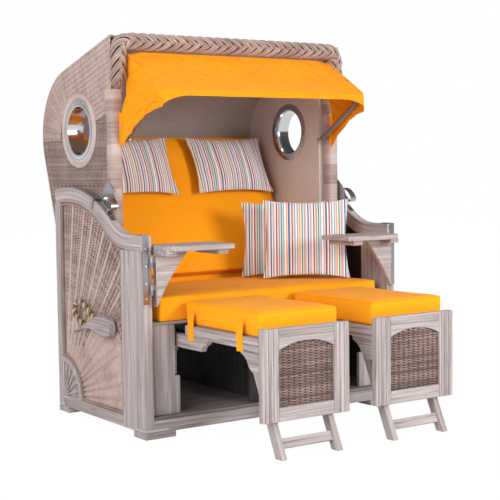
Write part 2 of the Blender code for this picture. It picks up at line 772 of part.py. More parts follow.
def seat_board():
    """Seat deck over the front boards and the divider."""
    piece = block((-SIDE_INNER + GAP, BOARD_FRONT_Y - EASE * 2, SEAT_UNDERSIDE),
                  (SIDE_INNER - GAP, SEAT_REAR_Y, SEAT_TOP), EASE)
    return register(piece, "seat_board", WOOD, base)


# Hood

def hood_profile(inset, front_y, bottom_z=None, back_end=-BACK_LEAN):
    """Side profile from the front of the roof, over the crown and down the back."""
    radius = CROWN_RADIUS - inset
    start = pi / 2 - ROOF_SLOPE
    centre = (CROWN_Y, CROWN_Z)
    crown = arc(centre, radius, start, back_end)
    first_y, first_z = crown[0]
    line = [(front_y, first_z + (first_y - front_y) * tan(ROOF_SLOPE))] + crown
    if bottom_z is not None:
        last_y, last_z = crown[-1]
        line.append((last_y - (last_z - bottom_z) * tan(BACK_LEAN), bottom_z))
    return line


def hood_back_wicker():
    """Woven roof, crown and back in one bent sheet."""
    outer = hood_profile(0, BRAID_REAR, HOOD_BACK_BOTTOM)
    inner = hood_profile(HOOD_WICKER_THICK, BRAID_REAR, HOOD_BACK_BOTTOM)
    piece = plate([outer + inner[::-1]], -HOOD_HALF_WIDTH, HOOD_HALF_WIDTH, "X")
    return register(smooth(piece), "hood_back_wicker", WICKER, hood)


def backrest_line(inset):
    """Crown end of the lining and the straight backrest below it."""
    line = hood_profile(inset, BRAID_REAR, back_end=0)
    last_y, last_z = line[-1]
    return line + [(last_y - (last_z - BACKREST_BOTTOM) * tan(BACKREST_LEAN), BACKREST_BOTTOM)]


def hood_lining():
    """Inner lining of roof, crown and backrest."""
    outer = backrest_line(LINING_INSET)
    inner = backrest_line(LINING_INSET + LINING_THICK)
    half = HOOD_WALL_INNER - GAP
    return register(smooth(plate([outer + inner[::-1]], -half, half, "X")),
                    "hood_lining", LINING, hood)


def wall_front(low_z):
    """Front edge of a hood side: behind the stile, then stepped forward behind the braid."""
    step_z = BRAID_LOW_END + GAP
    return [(STILE_REAR, low_z), (STILE_REAR, step_z), (BRAID_REAR, step_z)]


def hood_wall(name, side):
    """Padded side wall with the lobe that turns on the pivot bolt."""
    profile = hood_profile(HOOD_SKIN_INSET, BRAID_REAR, HOOD_BACK_BOTTOM)
    lobe = arc((PIVOT_Y, PIVOT_Z), HOOD_LOBE_RADIUS, 0, -pi)
    outline = wall_front(HOOD_FRONT_BOTTOM) + profile + lobe
    outline.append((PIVOT_Y - HOOD_LOBE_RADIUS, HOOD_FRONT_BOTTOM))
    bolt_hole = arc((PIVOT_Y, PIVOT_Z), PIN_BOLT_RADIUS + GAP, 0, 2 * pi, pi / 8)[:-1]
    port_hole = porthole_cut()
    piece = board(side, [outline, bolt_hole, port_hole], HOOD_WALL_INNER, HOOD_WALL_OUTER)
    return register(smooth(piece), name + "_hood_wall", LINING, hood)


def porthole_cut():
    """Round hole that a porthole tube fits."""
    radius = PORTHOLE_BORE + PORTHOLE_TUBE + GAP
    return arc((PORTHOLE_Y, PORTHOLE_Z), radius / cos(pi / 32), 0, 2 * pi, pi / 16)[:-1]


def hood_wicker(name, side):
    """Woven skin of one hood side, with the raised ring around its porthole."""
    profile = hood_profile(HOOD_SKIN_INSET, BRAID_REAR, HOOD_FRONT_BOTTOM)
    outline = wall_front(HOOD_WICKER_BOTTOM) + profile
    skin = board(side, [outline, porthole_cut()], HOOD_HALF_WIDTH - HOOD_WICKER_THICK,
                 HOOD_HALF_WIDTH)
    ring_loop = arc((PORTHOLE_Y, PORTHOLE_Z), WICKER_RING_RADIUS, 0, 2 * pi, pi / 16)[:-1]
    seat = arc((PORTHOLE_Y, PORTHOLE_Z), PORTHOLE_OUTER_RADIUS + GAP, 0, 2 * pi, pi / 16)[:-1]
    ring = board(side, [ring_loop, seat], HOOD_HALF_WIDTH - HOUSING,
                 HOOD_HALF_WIDTH + WICKER_RING_PROUD)
    return register(smooth(union(skin, ring)), name + "_hood_wicker", WICKER, hood)


def porthole(name, side):
    """Steel porthole: tube through the wall with a flange inside and outside."""
    outer = HOOD_HALF_WIDTH + GAP
    inner = HOOD_WALL_INNER - GAP
    tube_radius = PORTHOLE_BORE + PORTHOLE_TUBE
    lip = tube_radius + PORTHOLE_LIP
    profile = [(outer + PORTHOLE_FLANGE, PORTHOLE_BORE), (outer + PORTHOLE_FLANGE, lip),
               (outer + PORTHOLE_FLANGE / 2, PORTHOLE_OUTER_RADIUS), (outer, PORTHOLE_OUTER_RADIUS),
               (outer, tube_radius), (inner, tube_radius), (inner, PORTHOLE_INNER_RADIUS),
               (inner - PORTHOLE_FLANGE / 2, PORTHOLE_INNER_RADIUS),
               (inner - PORTHOLE_FLANGE, lip), (inner - PORTHOLE_FLANGE, PORTHOLE_BORE)]
    piece = turned(profile, 32, (0, PORTHOLE_Y, PORTHOLE_Z), side)
    return register(piece, name + "_porthole", STEEL, hood)


def pivot_bolt(name, side):
    """Bolt that the hood side turns on, with a head inside and a spacer collar."""
    tip = SIDE_INNER + PIVOT_POST_THICK
    head = HOOD_WALL_INNER - GAP
    profile = [(head - PIN_BOLT_HEAD_THICK, 0), (head - PIN_BOLT_HEAD_THICK, PIN_BOLT_HEAD),
               (head, PIN_BOLT_HEAD), (head, PIN_BOLT_RADIUS),
               (HOOD_WALL_OUTER + GAP, PIN_BOLT_RADIUS), (HOOD_WALL_OUTER + GAP, PIN_BOLT_HEAD),
               (SIDE_INNER - GAP, PIN_BOLT_HEAD), (SIDE_INNER - GAP, PIN_BOLT_RADIUS),
               (tip, PIN_BOLT_RADIUS), (tip, 0)]
    cuts = [rod((side * a, PIVOT_Y, PIVOT_Z), (side * b, PIVOT_Y, PIVOT_Z), radius)
            for a, b, radius in (
                (profile[0][0], head, PIN_BOLT_HEAD), (head - HOUSING, tip, PIN_BOLT_RADIUS),
                (HOOD_WALL_OUTER + GAP, SIDE_INNER - GAP, PIN_BOLT_HEAD))]
    return register(union(*cuts), name + "_pivot_bolt", STEEL, base)


def stile(name, side):
    """Wrapped upright at the front of one hood side."""
    piece = slab(side, STILE_OUTER - STILE_WIDTH, STILE_OUTER,
                 (STILE_FRONT, STILE_FRONT + STILE_DEPTH), (STILE_BOTTOM, BRAID_LOW_END), STILE_EDGE)
    piece.modifiers["ease"].segments = 2
    return register(piece, name + "_stile", WICKER, hood)


def braid_route():
    """Middle line of the braid: up one stile, across the roof's front and down the other."""
    corner = BRAID_CORNER
    left = [(-BRAID_X + corner + corner * cos(a), BRAID_Z - corner + corner * sin(a))
            for a in [pi - i * pi / 12 for i in range(7)]]
    upright = [(-BRAID_X, BRAID_LOW_END + GAP)] + left
    path = upright + [(-x, z) for x, z in upright[::-1]]
    return [Vector((x, BRAID_Y, z)) for x, z in path]


def braid():
    """Thick plaited edge of the hood."""
    piece = tube(braid_route(), BRAID_RADIUS, 3)
    return register(piece, "braid", WICKER, hood)


# Recline catch

def strip(name, side):
    """Perforated strip bent over the arm, centred on the hood's pivot."""
    centre = (PIVOT_Y, PIVOT_Z)
    low, high = ARM_SWEEP_RADIUS + GAP, ARM_SWEEP_RADIUS + GAP + STRIP_THICK
    step = radians(4.0)
    outline = arc(centre, low, STRIP_START, STRIP_END, step)
    outline += arc(centre, high, STRIP_END, STRIP_START, step)
    half = STRIP_WIDTH / 2
    piece = board(side, [outline], SIDE_MIDDLE - half, SIDE_MIDDLE + half)
    pitch = (STRIP_END - STRIP_START) / (STRIP_HOLES + 1)
    for i in range(STRIP_HOLES):
        angle = CATCH_ANGLE - i * pitch
        toward = Vector((0, cos(angle), sin(angle)))
        start = Vector((side * SIDE_MIDDLE, *centre)) + toward * (low - STRIP_THICK)
        piece = cut(piece, rod(start, start + toward * STRIP_THICK * 3, STRIP_HOLE_RADIUS, 8))
    return register(piece, name + "_perforated_strip", STEEL, base)


def radial(side, angle, inner_x, outer_x, low, high, width):
    """A box that stands on the arm's sweep at one angle."""
    centre = (low + high) / 2
    piece = slab(side, inner_x, outer_x, (-width / 2, width / 2), (low - centre, high - centre))
    piece.location = (piece.location.x, PIVOT_Y + centre * cos(angle), PIVOT_Z + centre * sin(angle))
    piece.rotation_euler = (angle - pi / 2, 0, 0)
    return piece


def guide_clip(name, side):
    """Steel plate on the stile with a clip that rides over the arm and an arm for the catch."""
    inner = STILE_OUTER + GAP
    low = ARM_SWEEP_RADIUS + CLIP_CLEARANCE
    outline = []
    for turned_share, lifted_share in CLIP_PLATE_SHARES:
        angle = CLIP_PLATE_START - CLIP_PLATE_TURN * turned_share
        out = ARM_SWEEP_RADIUS - CLIP_PLATE_DROP + CLIP_PLATE_RISE * lifted_share
        outline.append((PIVOT_Y + out * cos(angle), PIVOT_Z + out * sin(angle)))
    piece = board(side, [outline], inner, inner + CLIP_THICK)
    outer = HALF_WIDTH + CLIP_THICK
    over = radial(side, CLIP_ANGLE, inner, outer + CLIP_THICK, low, low + CLIP_THICK, CLIP_WIDTH)
    leg = radial(side, CLIP_ANGLE, outer, outer + CLIP_THICK, low + CLIP_THICK - CLIP_LEG,
                 low + CLIP_THICK, CLIP_WIDTH)
    lift = ARM_SWEEP_RADIUS + CATCH_ARM_LIFT
    arm = radial(side, CATCH_ANGLE, inner, SIDE_MIDDLE + STRIP_WIDTH / 2, lift, lift + CLIP_THICK,
                 CATCH_ARM_WIDTH)
    piece = union(piece, over, leg, arm)
    toward = Vector((0, cos(CATCH_ANGLE), sin(CATCH_ANGLE)))
    foot_point = Vector((side * SIDE_MIDDLE, PIVOT_Y, PIVOT_Z))
    hole = rod(foot_point + toward * (lift - OVERRUN), foot_point + toward * (lift + OVERRUN),
               PIN_RADIUS + GAP, 12)
    return register(cut(piece, hole), name + "_guide_clip", STEEL, hood)


def catch_handle(name, side, parent):
    """Flat-strap pull loop on the pin that drops into the perforated strip."""
    toward = Vector((0, cos(CATCH_ANGLE), sin(CATCH_ANGLE)))
    along = Vector((0, -sin(CATCH_ANGLE), cos(CATCH_ANGLE)))
    pivot = Vector((side * SIDE_MIDDLE, PIVOT_Y, PIVOT_Z))
    tip = ARM_SWEEP_RADIUS + GAP + STRIP_THICK + GAP
    seat = ARM_SWEEP_RADIUS + CATCH_ARM_LIFT + CLIP_THICK + GAP
    centre = pivot + toward * (seat + LOOP_HEIGHT / 2)
    half_long, half_high = LOOP_LENGTH / 2, LOOP_HEIGHT / 2
    loops = []
    for shrink in (0, LOOP_STRAP):
        ring = []
        for i in range(LOOP_SIDES):
            a = 2 * pi * i / LOOP_SIDES
            flat = (half_long - shrink) * cos(a) * along + (half_high - shrink) * sin(a) * toward
            ring.append(((centre + flat).y, (centre + flat).z))
        loops.append(ring)
    loop = board(side, loops, SIDE_MIDDLE - LOOP_WIDTH / 2, SIDE_MIDDLE + LOOP_WIDTH / 2)
    pin = rod(pivot + toward * tip, pivot + toward * (seat + LOOP_STRAP / 2), PIN_RADIUS, 12)
    return register(smooth(union(loop, pin)), name + "_catch_handle", STEEL, parent)


# Awning

def awning_bow():
    """Round bar bent into a bow, with its ends turned out to the stiles."""
    end_x = STILE_OUTER - STILE_WIDTH - GAP
    bend = BOW_DIAMETER
    arm = Vector((0, BOW_FRONT_Y - BOW_PIVOT_Y, BOW_FRONT_Z - BOW_PIVOT_Z))
    reach = arm.length
    arm.normalize()
    pivot = Vector((0, BOW_PIVOT_Y, BOW_PIVOT_Z))

    def at(x, out):
        return pivot + arm * out + Vector((x, 0, 0))

    half = [at(-end_x, 0), at(-BOW_HALF_WIDTH - bend / 3, 0), at(-BOW_HALF_WIDTH, bend / 3)]
    for i in range(7):
        a = i * pi / 12
        half.append(at(-BOW_HALF_WIDTH + BOW_CORNER * (1 - cos(a)),
                       reach - BOW_CORNER * (1 - sin(a))))
    mirrored = [Vector((-p.x, p.y, p.z)) for p in half[::-1]]
    piece = tube(half + mirrored, BOW_DIAMETER / 2)
    return register(piece, "awning_bow", BOW, awning)


def awning_point(around, back):
    """Place on the awning: around from left hem over the top to right hem, back to front."""
    half = BOW_HALF_WIDTH + BOW_DIAMETER / 2 + GAP * 2
    lift = BOW_DIAMETER / 2 + FABRIC_THICK
    top_z = BRAID_Z - BRAID_RADIUS - FABRIC_THICK - GAP * 2
    fold = AWNING_FOLD_SHARE
    if back < fold:
        share = back / fold
        top_y = AWNING_TOP_Y + (BOW_FRONT_Y - lift - AWNING_TOP_Y) * share
        top_height = top_z + (BOW_FRONT_Z + lift - top_z) * share
    else:
        share = (back - fold) / (1 - fold)
        top_y = BOW_FRONT_Y - lift - BOW_DIAMETER / 2 * share
        top_height = BOW_FRONT_Z + lift - AWNING_VALANCE * share
    hem_y = STILE_FRONT - AWNING_CLEARANCE + (BOW_FRONT_Y - BOW_DIAMETER * 2 - STILE_FRONT) * back
    hem_z = AWNING_TAIL_Z + (BOW_FRONT_Z - AWNING_SKIRT - AWNING_TAIL_Z) * back
    hem_z += AWNING_SAG * sin(pi * back)
    leg = abs(around)
    side = 1 if around > 0 else -1
    if leg <= 1:
        sag = AWNING_SAG * sin(pi * min(back / fold, 1)) * cos(leg * pi / 2)
        round_off = AWNING_CORNER * (1 - min(back / fold, 1)) if leg == 1 else 0
        return Vector((side * (leg * half - round_off), top_y, top_height - sag - round_off))
    down = leg - 1
    return Vector((side * half, top_y + (hem_y - top_y) * down,
                   top_height + (hem_z - top_height) * down))


def awning_fabric():
    """One sheet: sloping top, short valance and a hanging flap on each side."""
    across = AWNING_ACROSS_SHARES
    backs = AWNING_BACK_SHARES
    work = bmesh.new()
    bmesh.ops.create_grid(work, x_segments=len(across) - 1, y_segments=len(backs) - 1, size=1)
    columns = len(across) - 1
    rows = len(backs) - 1
    for vert in work.verts:
        column = round((vert.co.x + 1) / 2 * columns)
        row = round((vert.co.y + 1) / 2 * rows)
        vert.co = awning_point(across[column], backs[row])
    mesh = bpy.data.meshes.new("awning")
    work.to_mesh(mesh)
    work.free()
    piece = bpy.data.objects.new("awning", mesh)
    bpy.context.scene.collection.objects.link(piece)
    skin = piece.modifiers.new("cloth", "SOLIDIFY")
    skin.thickness = FABRIC_THICK
    skin.offset = -1
    return register(smooth(piece), "awning_fabric", FABRIC, awning)


# Footrests

def footrest_panel(middle):
    """Framed front with an arched opening."""
    low, high = PANEL_LOW, PANEL_HIGH
    outline = [(middle - FOOTREST_HALF, low), (middle + FOOTREST_HALF, low),
               (middle + FOOTREST_HALF, high), (middle - FOOTREST_HALF, high)]
    return eased(plate([outline, arched(middle, 0)], FOOTREST_FRONT_Y,
                       FOOTREST_FRONT_Y + PANEL_THICK, "Y"))


def arched(middle, clearance):
    """Opening of a footrest front: straight sides under a low arch."""
    half = PANEL_OPENING_HALF
    rise = PANEL_CROWN - PANEL_SPRING
    radius = (half ** 2 + rise ** 2) / (2 * rise)
    spread = asin(half / radius)
    head = arc((middle, PANEL_CROWN - radius), radius - clearance * 2, pi / 2 - spread,
               pi / 2 + spread, spread / 4)
    left = middle - half + clearance
    right = middle + half - clearance
    head = [(min(max(x, left), right), z) for x, z in head]
    return [(left, PANEL_OPENING_LOW + clearance), (right, PANEL_OPENING_LOW + clearance)] + head


def rail_outline():
    """Side rail: bracket behind the front panel, straight rail, tail that runs in the base."""
    front = FOOTREST_FRONT_Y + PANEL_THICK - HOUSING
    drop = SIDE_RAIL_LOW - BRACKET_LOW
    reach = BRACKET_REAR_Y - BRACKET_SHELF_Y
    scoop = [(BRACKET_SHELF_Y + reach * a, BRACKET_LOW + drop * b) for a, b in OGEE_SHARES]
    tail_drop = SIDE_RAIL_LOW - TAIL_LOW
    tail = [(TAIL_START_Y - tail_drop + tail_drop * a, SIDE_RAIL_LOW - tail_drop * b)
            for a, b in TAIL_SHARES]
    return ([(front, SIDE_RAIL_TOP), (front, BRACKET_LOW)] + scoop + tail
            + [(TAIL_END_Y, TAIL_LOW), (TAIL_END_Y, TAIL_HIGH),
               (SIDE_RAIL_END_Y, TAIL_HIGH), (SIDE_RAIL_END_Y, SIDE_RAIL_TOP)])


def footrest_frame(name, side, parent):
    """Front panel, two side rails and the deck under the cushion."""
    middle = side * FOOTREST_X
    frame = footrest_panel(middle)
    for edge in (-1, 1):
        outer = middle + edge * FOOTREST_HALF
        inner = outer - edge * SIDE_RAIL_THICK
        rail = plate([rail_outline()], min(outer, inner), max(outer, inner), "X")
        frame = union(frame, rail)
    half = FOOTREST_HALF - SIDE_RAIL_THICK + HOUSING
    deck = block((middle - half, FOOTREST_FRONT_Y + PANEL_THICK - HOUSING,
                  SIDE_RAIL_TOP - FOOTREST_DECK),
                 (middle + half, SIDE_RAIL_END_Y, SIDE_RAIL_TOP))
    return register(union(frame, deck), name + "_footrest_frame", WOOD, parent)


def footrest_wicker(name, side, parent):
    """Woven infill of the arched opening."""
    middle_y = FOOTREST_FRONT_Y + PANEL_THICK / 2
    piece = plate([arched(side * FOOTREST_X, GAP)], middle_y - WICKER_SKIN / 2,
                  middle_y + WICKER_SKIN / 2, "Y")
    return register(piece, name + "_footrest_wicker", WICKER, parent)


def leg_outline():
    """One leg: round top about its hinge, cut level at the floor."""
    half = LEG_WIDTH / 2
    pivot = Vector((LEG_PIVOT_Y, LEG_PIVOT_Z))
    down = Vector((-sin(LEG_TILT), -cos(LEG_TILT)))
    rearward = Vector((cos(LEG_TILT), -sin(LEG_TILT)))
    tips = []
    for edge in (1, -1):
        start = pivot + rearward * half * edge
        tips.append(start + down * (start.y / cos(LEG_TILT)))
    head = arc(tuple(pivot), half, -LEG_TILT, pi - LEG_TILT, pi / 6)
    return [tuple(tips[1]), tuple(tips[0])] + head


def leg_frame(name, side, parent):
    """Two legs with a rung and the round hinge bar between the side rails."""
    middle = side * FOOTREST_X
    legs = []
    for edge in (-1, 1):
        outer = middle + edge * LEG_OUTER
        inner = outer - edge * LEG_THICK
        legs.append(plate([leg_outline()], min(outer, inner), max(outer, inner), "X"))
    half = LEG_OUTER - LEG_THICK + HOUSING
    rung = block((-half, -RUNG_THICK / 2, -RUNG_WIDTH / 2), (half, RUNG_THICK / 2, RUNG_WIDTH / 2))
    fall = LEG_PIVOT_Z - RUNG_HEIGHT
    rung.location = (middle, LEG_PIVOT_Y - fall * tan(LEG_TILT), RUNG_HEIGHT)
    rung.rotation_euler = (-LEG_TILT, 0, 0)
    reach = FOOTREST_HALF - SIDE_RAIL_THICK - GAP
    bar = rod((middle - reach, LEG_PIVOT_Y, LEG_PIVOT_Z), (middle + reach, LEG_PIVOT_Y, LEG_PIVOT_Z),
              LEG_PIN_RADIUS, 12)
    return register(union(legs[0], legs[1], rung, bar), name + "_footrest_legs", WOOD, parent)


# Side tables

def post_strap(name, side):
    """Steel strap on the front post, hooked over the arm, with two hinge pins."""
    front = -GAP - STRAP_THICK
    over = ARM_HEIGHT + GAP
    outline = [(front, STRAP_LOW), (front, over + STRAP_THICK), (STRAP_REACH, over + STRAP_THICK),
               (STRAP_REACH, over), (-GAP, over), (-GAP, STRAP_LOW)]
    piece = board(side, [outline], HALF_WIDTH - STRAP_WIDTH, HALF_WIDTH)
    for low in (KNUCKLE_LOW_Z, KNUCKLE_HIGH_Z):
        high = low + KNUCKLE_HEIGHT
        web = slab(side, HINGE_X - KNUCKLE_RADIUS / 2, HALF_WIDTH - STRAP_WIDTH + HOUSING * 2,
                   (HINGE_Y, -GAP * 2), (low, high))
        knuckle = rod((side * HINGE_X, HINGE_Y, low), (side * HINGE_X, HINGE_Y, high),
                      KNUCKLE_RADIUS, 12)
        pin = rod((side * HINGE_X, HINGE_Y, high - HOUSING),
                  (side * HINGE_X, HINGE_Y, high + KNUCKLE_HEIGHT), HINGE_PIN_RADIUS, 12)
        piece = union(piece, web, knuckle, pin)
    return register(piece, name + "_post_strap", STEEL, base)


def hinge_leaf(name, side, parent):
    """Steel edge strip of the table bracket, with the knuckles that drop over the pins."""
    rear = TABLE_BOARD_Y + TABLE_BOARD_THICK / 2
    front = TABLE_BOARD_Y - TABLE_BOARD_THICK / 2
    outer = HINGE_X - KNUCKLE_RADIUS - GAP * 2
    top = TABLE_TOP_Z - TABLE_THICK - BATTEN_HEIGHT - GAP * 2
    piece = slab(side, outer - LEAF_THICK, outer, (front, rear), (HINGE_LOW, top))
    for low in (KNUCKLE_LOW_Z, KNUCKLE_HIGH_Z):
        bottom = low + KNUCKLE_HEIGHT + GAP
        high = bottom + KNUCKLE_HEIGHT
        web = slab(side, outer - LEAF_THICK / 2, HINGE_X, (HINGE_Y - KNUCKLE_RADIUS, HINGE_Y),
                   (bottom, high))
        knuckle = rod((side * HINGE_X, HINGE_Y, bottom), (side * HINGE_X, HINGE_Y, high),
                      KNUCKLE_RADIUS, 12)
        bore = rod((side * HINGE_X, HINGE_Y, bottom - OVERRUN), (side * HINGE_X, HINGE_Y, high + OVERRUN),
                   HINGE_PIN_RADIUS + GAP, 12)
        piece = cut(union(piece, web, knuckle), bore)
    return register(piece, name + "_hinge_leaf", STEEL, parent)


def table_bracket(name, side, parent):
    """Upright board under the table, notched for the outer batten and hollowed below."""
    outer = HINGE_X - KNUCKLE_RADIUS - GAP * 2 - LEAF_THICK - GAP
    top = TABLE_TOP_Z - TABLE_THICK - GAP
    notch_z = top - BATTEN_HEIGHT - GAP
    notch_x = TABLE_OUTER_X - BATTEN_WIDTH - GAP
    tip = Vector((outer, HINGE_LOW))
    shoulder = Vector((TABLE_BOARD_REACH, top))
    chord = shoulder - tip
    inward = Vector((chord.y, -chord.x)).normalized()
    hollow = []
    for i in range(TABLE_BOARD_STEPS + 1):
        share = i / TABLE_BOARD_STEPS
        hollow.append(tip + chord * share + inward * TABLE_BOARD_HOLLOW * sin(pi * share))
    outline = [tuple(p) for p in hollow] + [(notch_x, top), (notch_x, notch_z), (outer, notch_z)]
    outline = [(side * x, z) for x, z in outline]
    half = TABLE_BOARD_THICK / 2
    piece = eased(plate([outline], TABLE_BOARD_Y - half, TABLE_BOARD_Y + half, "Y"))
    return register(piece, name + "_table_bracket", WOOD, parent)


def table_top(name, side, parent):
    """Table board with its front outer corner cut off, on two battens."""
    low = TABLE_TOP_Z - TABLE_THICK
    cut_off = TABLE_CHAMFER
    outline = [(side * x, y) for x, y in (
        (TABLE_INNER_X, TABLE_FRONT_Y + cut_off / 3), (TABLE_INNER_X + cut_off / 3, TABLE_FRONT_Y),
        (TABLE_OUTER_X - cut_off, TABLE_FRONT_Y), (TABLE_OUTER_X, TABLE_FRONT_Y + cut_off),
        (TABLE_OUTER_X, TABLE_REAR_Y), (TABLE_INNER_X, TABLE_REAR_Y))]
    piece = eased(plate([outline], low, TABLE_TOP_Z, "Z"))
    y_range = (TABLE_FRONT_Y + BATTEN_SETBACK, TABLE_REAR_Y - BATTEN_SETBACK)
    for inner, front_trim in ((TABLE_OUTER_X - BATTEN_WIDTH, cut_off), (BATTEN_FAR_X, 0)):
        batten = slab(side, inner, inner + BATTEN_WIDTH, (y_range[0] + front_trim / 2, y_range[1]),
                      (low - BATTEN_HEIGHT, low + HOUSING), EASE)
        piece = union(piece, batten)
    return register(piece, name + "_table_top", WOOD, parent)


# Cushions

def cushion(name, size, place, turned_by, parent, shade, soft=False):
    """A pad from a coarse cage. A box pad has crowned faces and drawn-in sides, a soft pillow
    swells in its middle and thins out to a seam with pointed corners."""
    work = bmesh.new()
    bmesh.ops.create_cube(work, size=2)
    bmesh.ops.subdivide_edges(work, edges=work.edges[:], cuts=3, use_grid_fill=True)
    flat = min(range(3), key=lambda axis: size[axis])
    wide = [axis for axis in range(3) if axis != flat]
    halves = [length / 2 for length in size]
    for vert in work.verts:
        u, v = (vert.co[axis] for axis in wide)
        t = vert.co[flat]
        dome = (1 - u ** 4) * (1 - v ** 4)
        if soft:
            swell = PILLOW_EDGE_SHARE + (1 - PILLOW_EDGE_SHARE) * dome ** PILLOW_PUFF_SHARE
            draw = PILLOW_DRAW
            height = halves[flat] * swell * t
        else:
            draw = CUSHION_DRAW * (1 - t * t) / 2 + CUSHION_DRAW / 2
            height = (halves[flat] - CUSHION_CROWN * (1 - dome)) * t
        vert.co[wide[0]] = u * (halves[wide[0]] - draw * (1 - v * v))
        vert.co[wide[1]] = v * (halves[wide[1]] - draw * (1 - u * u))
        vert.co[flat] = height
    mesh = bpy.data.meshes.new(name)
    work.to_mesh(mesh)
    work.free()
    piece = bpy.data.objects.new(name, mesh)
    bpy.context.scene.collection.objects.link(piece)
    piece.location = place
    piece.rotation_euler = turned_by
    if not soft:
        eased(piece, CUSHION_EDGE, radians(50.0))
        piece.modifiers["ease"].segments = 2
        return register(smooth(piece), name, shade, parent)
    curve = piece.modifiers.new("soft", "SUBSURF")
    curve.levels = curve.render_levels = 1
    return register(smooth(piece), name, shade, parent)


def sampled(piece):
    """Points all over a finished piece, and a tree of its faces."""
    mesh = piece.evaluated_get(bpy.context.evaluated_depsgraph_get()).to_mesh()
    corners = [piece.matrix_world @ vert.co for vert in mesh.vertices]
    faces = [tuple(face.vertices) for face in mesh.polygons]
    middles = [sum((corners[i] for i in group), Vector()) / len(group)
               for group in faces + [tuple(edge.vertices) for edge in mesh.edges]]
    return corners + middles, BVHTree.FromPolygons(corners, faces)


def seat(piece, onto, direction):
    """Push a soft piece along a direction until it lies a gap away from what carries it."""
    bpy.context.view_layer.update()
    direction = Vector(direction).normalized()
    own_points, own_tree = sampled(piece)
    other_points, other_tree = sampled(onto)
    hits = [other_tree.ray_cast(point, direction)[3] for point in own_points]
    hits += [own_tree.ray_cast(point, -direction)[3] for point in other_points]
    piece.location += direction * (min(hit for hit in hits if hit is not None) - GAP * 2)
    return piece


def seat_cushion():
    """Long pad on the seat deck."""
    width, depth, height = SEAT_CUSHION
    place = (0, SEAT_CUSHION_FRONT + depth / 2, SEAT_TOP + GAP + height / 2)
    return cushion("seat_cushion", SEAT_CUSHION, place, (0, 0, 0), base, FABRIC)


def back_point(up, out):
    """A place on the back cushion's front: up along it and out in front of it."""
    y = BACK_CUSHION_LOW[0] + up * sin(BACKREST_LEAN) - out * cos(BACKREST_LEAN)
    z = BACK_CUSHION_LOW[1] + up * cos(BACKREST_LEAN) + out * sin(BACKREST_LEAN)
    return y, z


def back_cushion():
    """Long pad that leans on the backrest."""
    y, z = back_point(BACK_CUSHION[2] / 2, -BACK_CUSHION[1] / 2)
    pad = cushion("back_cushion", BACK_CUSHION, (0, y, z), (-BACKREST_LEAN, 0, 0), hood, FABRIC)
    return seat(pad, bpy.data.objects["hood_lining"], into_backrest())


def into_backrest():
    """Direction square to the backrest, into it."""
    return 0, cos(BACKREST_LEAN), -sin(BACKREST_LEAN)


def neck_pillow(name, side):
    """Striped pillow that hangs in front of the back cushion."""
    y, z = back_point(NECK_PILLOW_UP + NECK_PILLOW[2] / 2, NECK_PILLOW[1] / 2 + GAP)
    pillow = cushion(name + "_neck_pillow", NECK_PILLOW, (side * NECK_PILLOW_X, y, z),
                     (-BACKREST_LEAN, 0, 0), hood, STRIPES, soft=True)
    return seat(pillow, bpy.data.objects["back_cushion"], into_backrest())


def throw_pillows():
    """Two striped pillows that stand on the seat, one behind the other."""
    seat_height = SEAT_TOP + GAP + SEAT_CUSHION[2]
    rise = THROW_PILLOW[2] / 2 + PILLOW_DRAW
    front = Vector((*FRONT_PILLOW, seat_height + GAP + rise))
    backward = Vector((-sin(PILLOW_YAW), cos(PILLOW_YAW), 0))
    sideways = Vector((-cos(PILLOW_YAW), -sin(PILLOW_YAW), 0))
    rear = front + backward * REAR_PILLOW_BACK + sideways * REAR_PILLOW_SIDE
    down = (0, 0, -1)
    pillows = []
    for name, place in (("front_throw_pillow", front), ("rear_throw_pillow", rear)):
        pillow = cushion(name, THROW_PILLOW, place, (-PILLOW_LEAN, 0, PILLOW_YAW), base, STRIPES,
                         soft=True)
        pillows.append(seat(pillow, bpy.data.objects["seat_cushion"], down))
    seat(pillows[1], pillows[0], -backward)
    seat(pillows[1], bpy.data.objects["seat_cushion"], down)


def footrest_cushion(name, side, parent):
    """Pad on a footrest deck."""
    width, depth, height = FOOT_CUSHION
    place = (side * FOOTREST_X, SEAT_CUSHION_FRONT - GAP - depth / 2,
             SIDE_RAIL_TOP + GAP + height / 2)
    return cushion(name + "_footrest_cushion", FOOT_CUSHION, place, (0, 0, 0), parent, FABRIC)


# Build

WOOD = ((0.38, 0.34, 0.33), 0.75)
WICKER = ((0.40, 0.32, 0.28), 0.65)
LINING = ((0.21, 0.16, 0.14), 0.90)
FABRIC = ((0.95, 0.34, 0.02), 0.85)
STRIPES = ((0.80, 0.76, 0.70), 0.85)
STEEL = ((0.75, 0.75, 0.76), 0.20, 1.0)
BOW = ((0.25, 0.21, 0.19), 0.45, 0.6)
ROPE = ((0.55, 0.36, 0.17), 0.85)

for old in list(bpy.data.objects):
    bpy.data.objects.remove(old)
chair_collection = bpy.data.collections.new("hooded_beach_chair")
bpy.context.scene.collection.children.link(chair_collection)

base = empty("base", (0, 0, 0))
hood = empty("hood", (0, PIVOT_Y, PIVOT_Z), base)
awning = empty("awning", (0, BOW_PIVOT_Y, BOW_PIVOT_Z), hood)

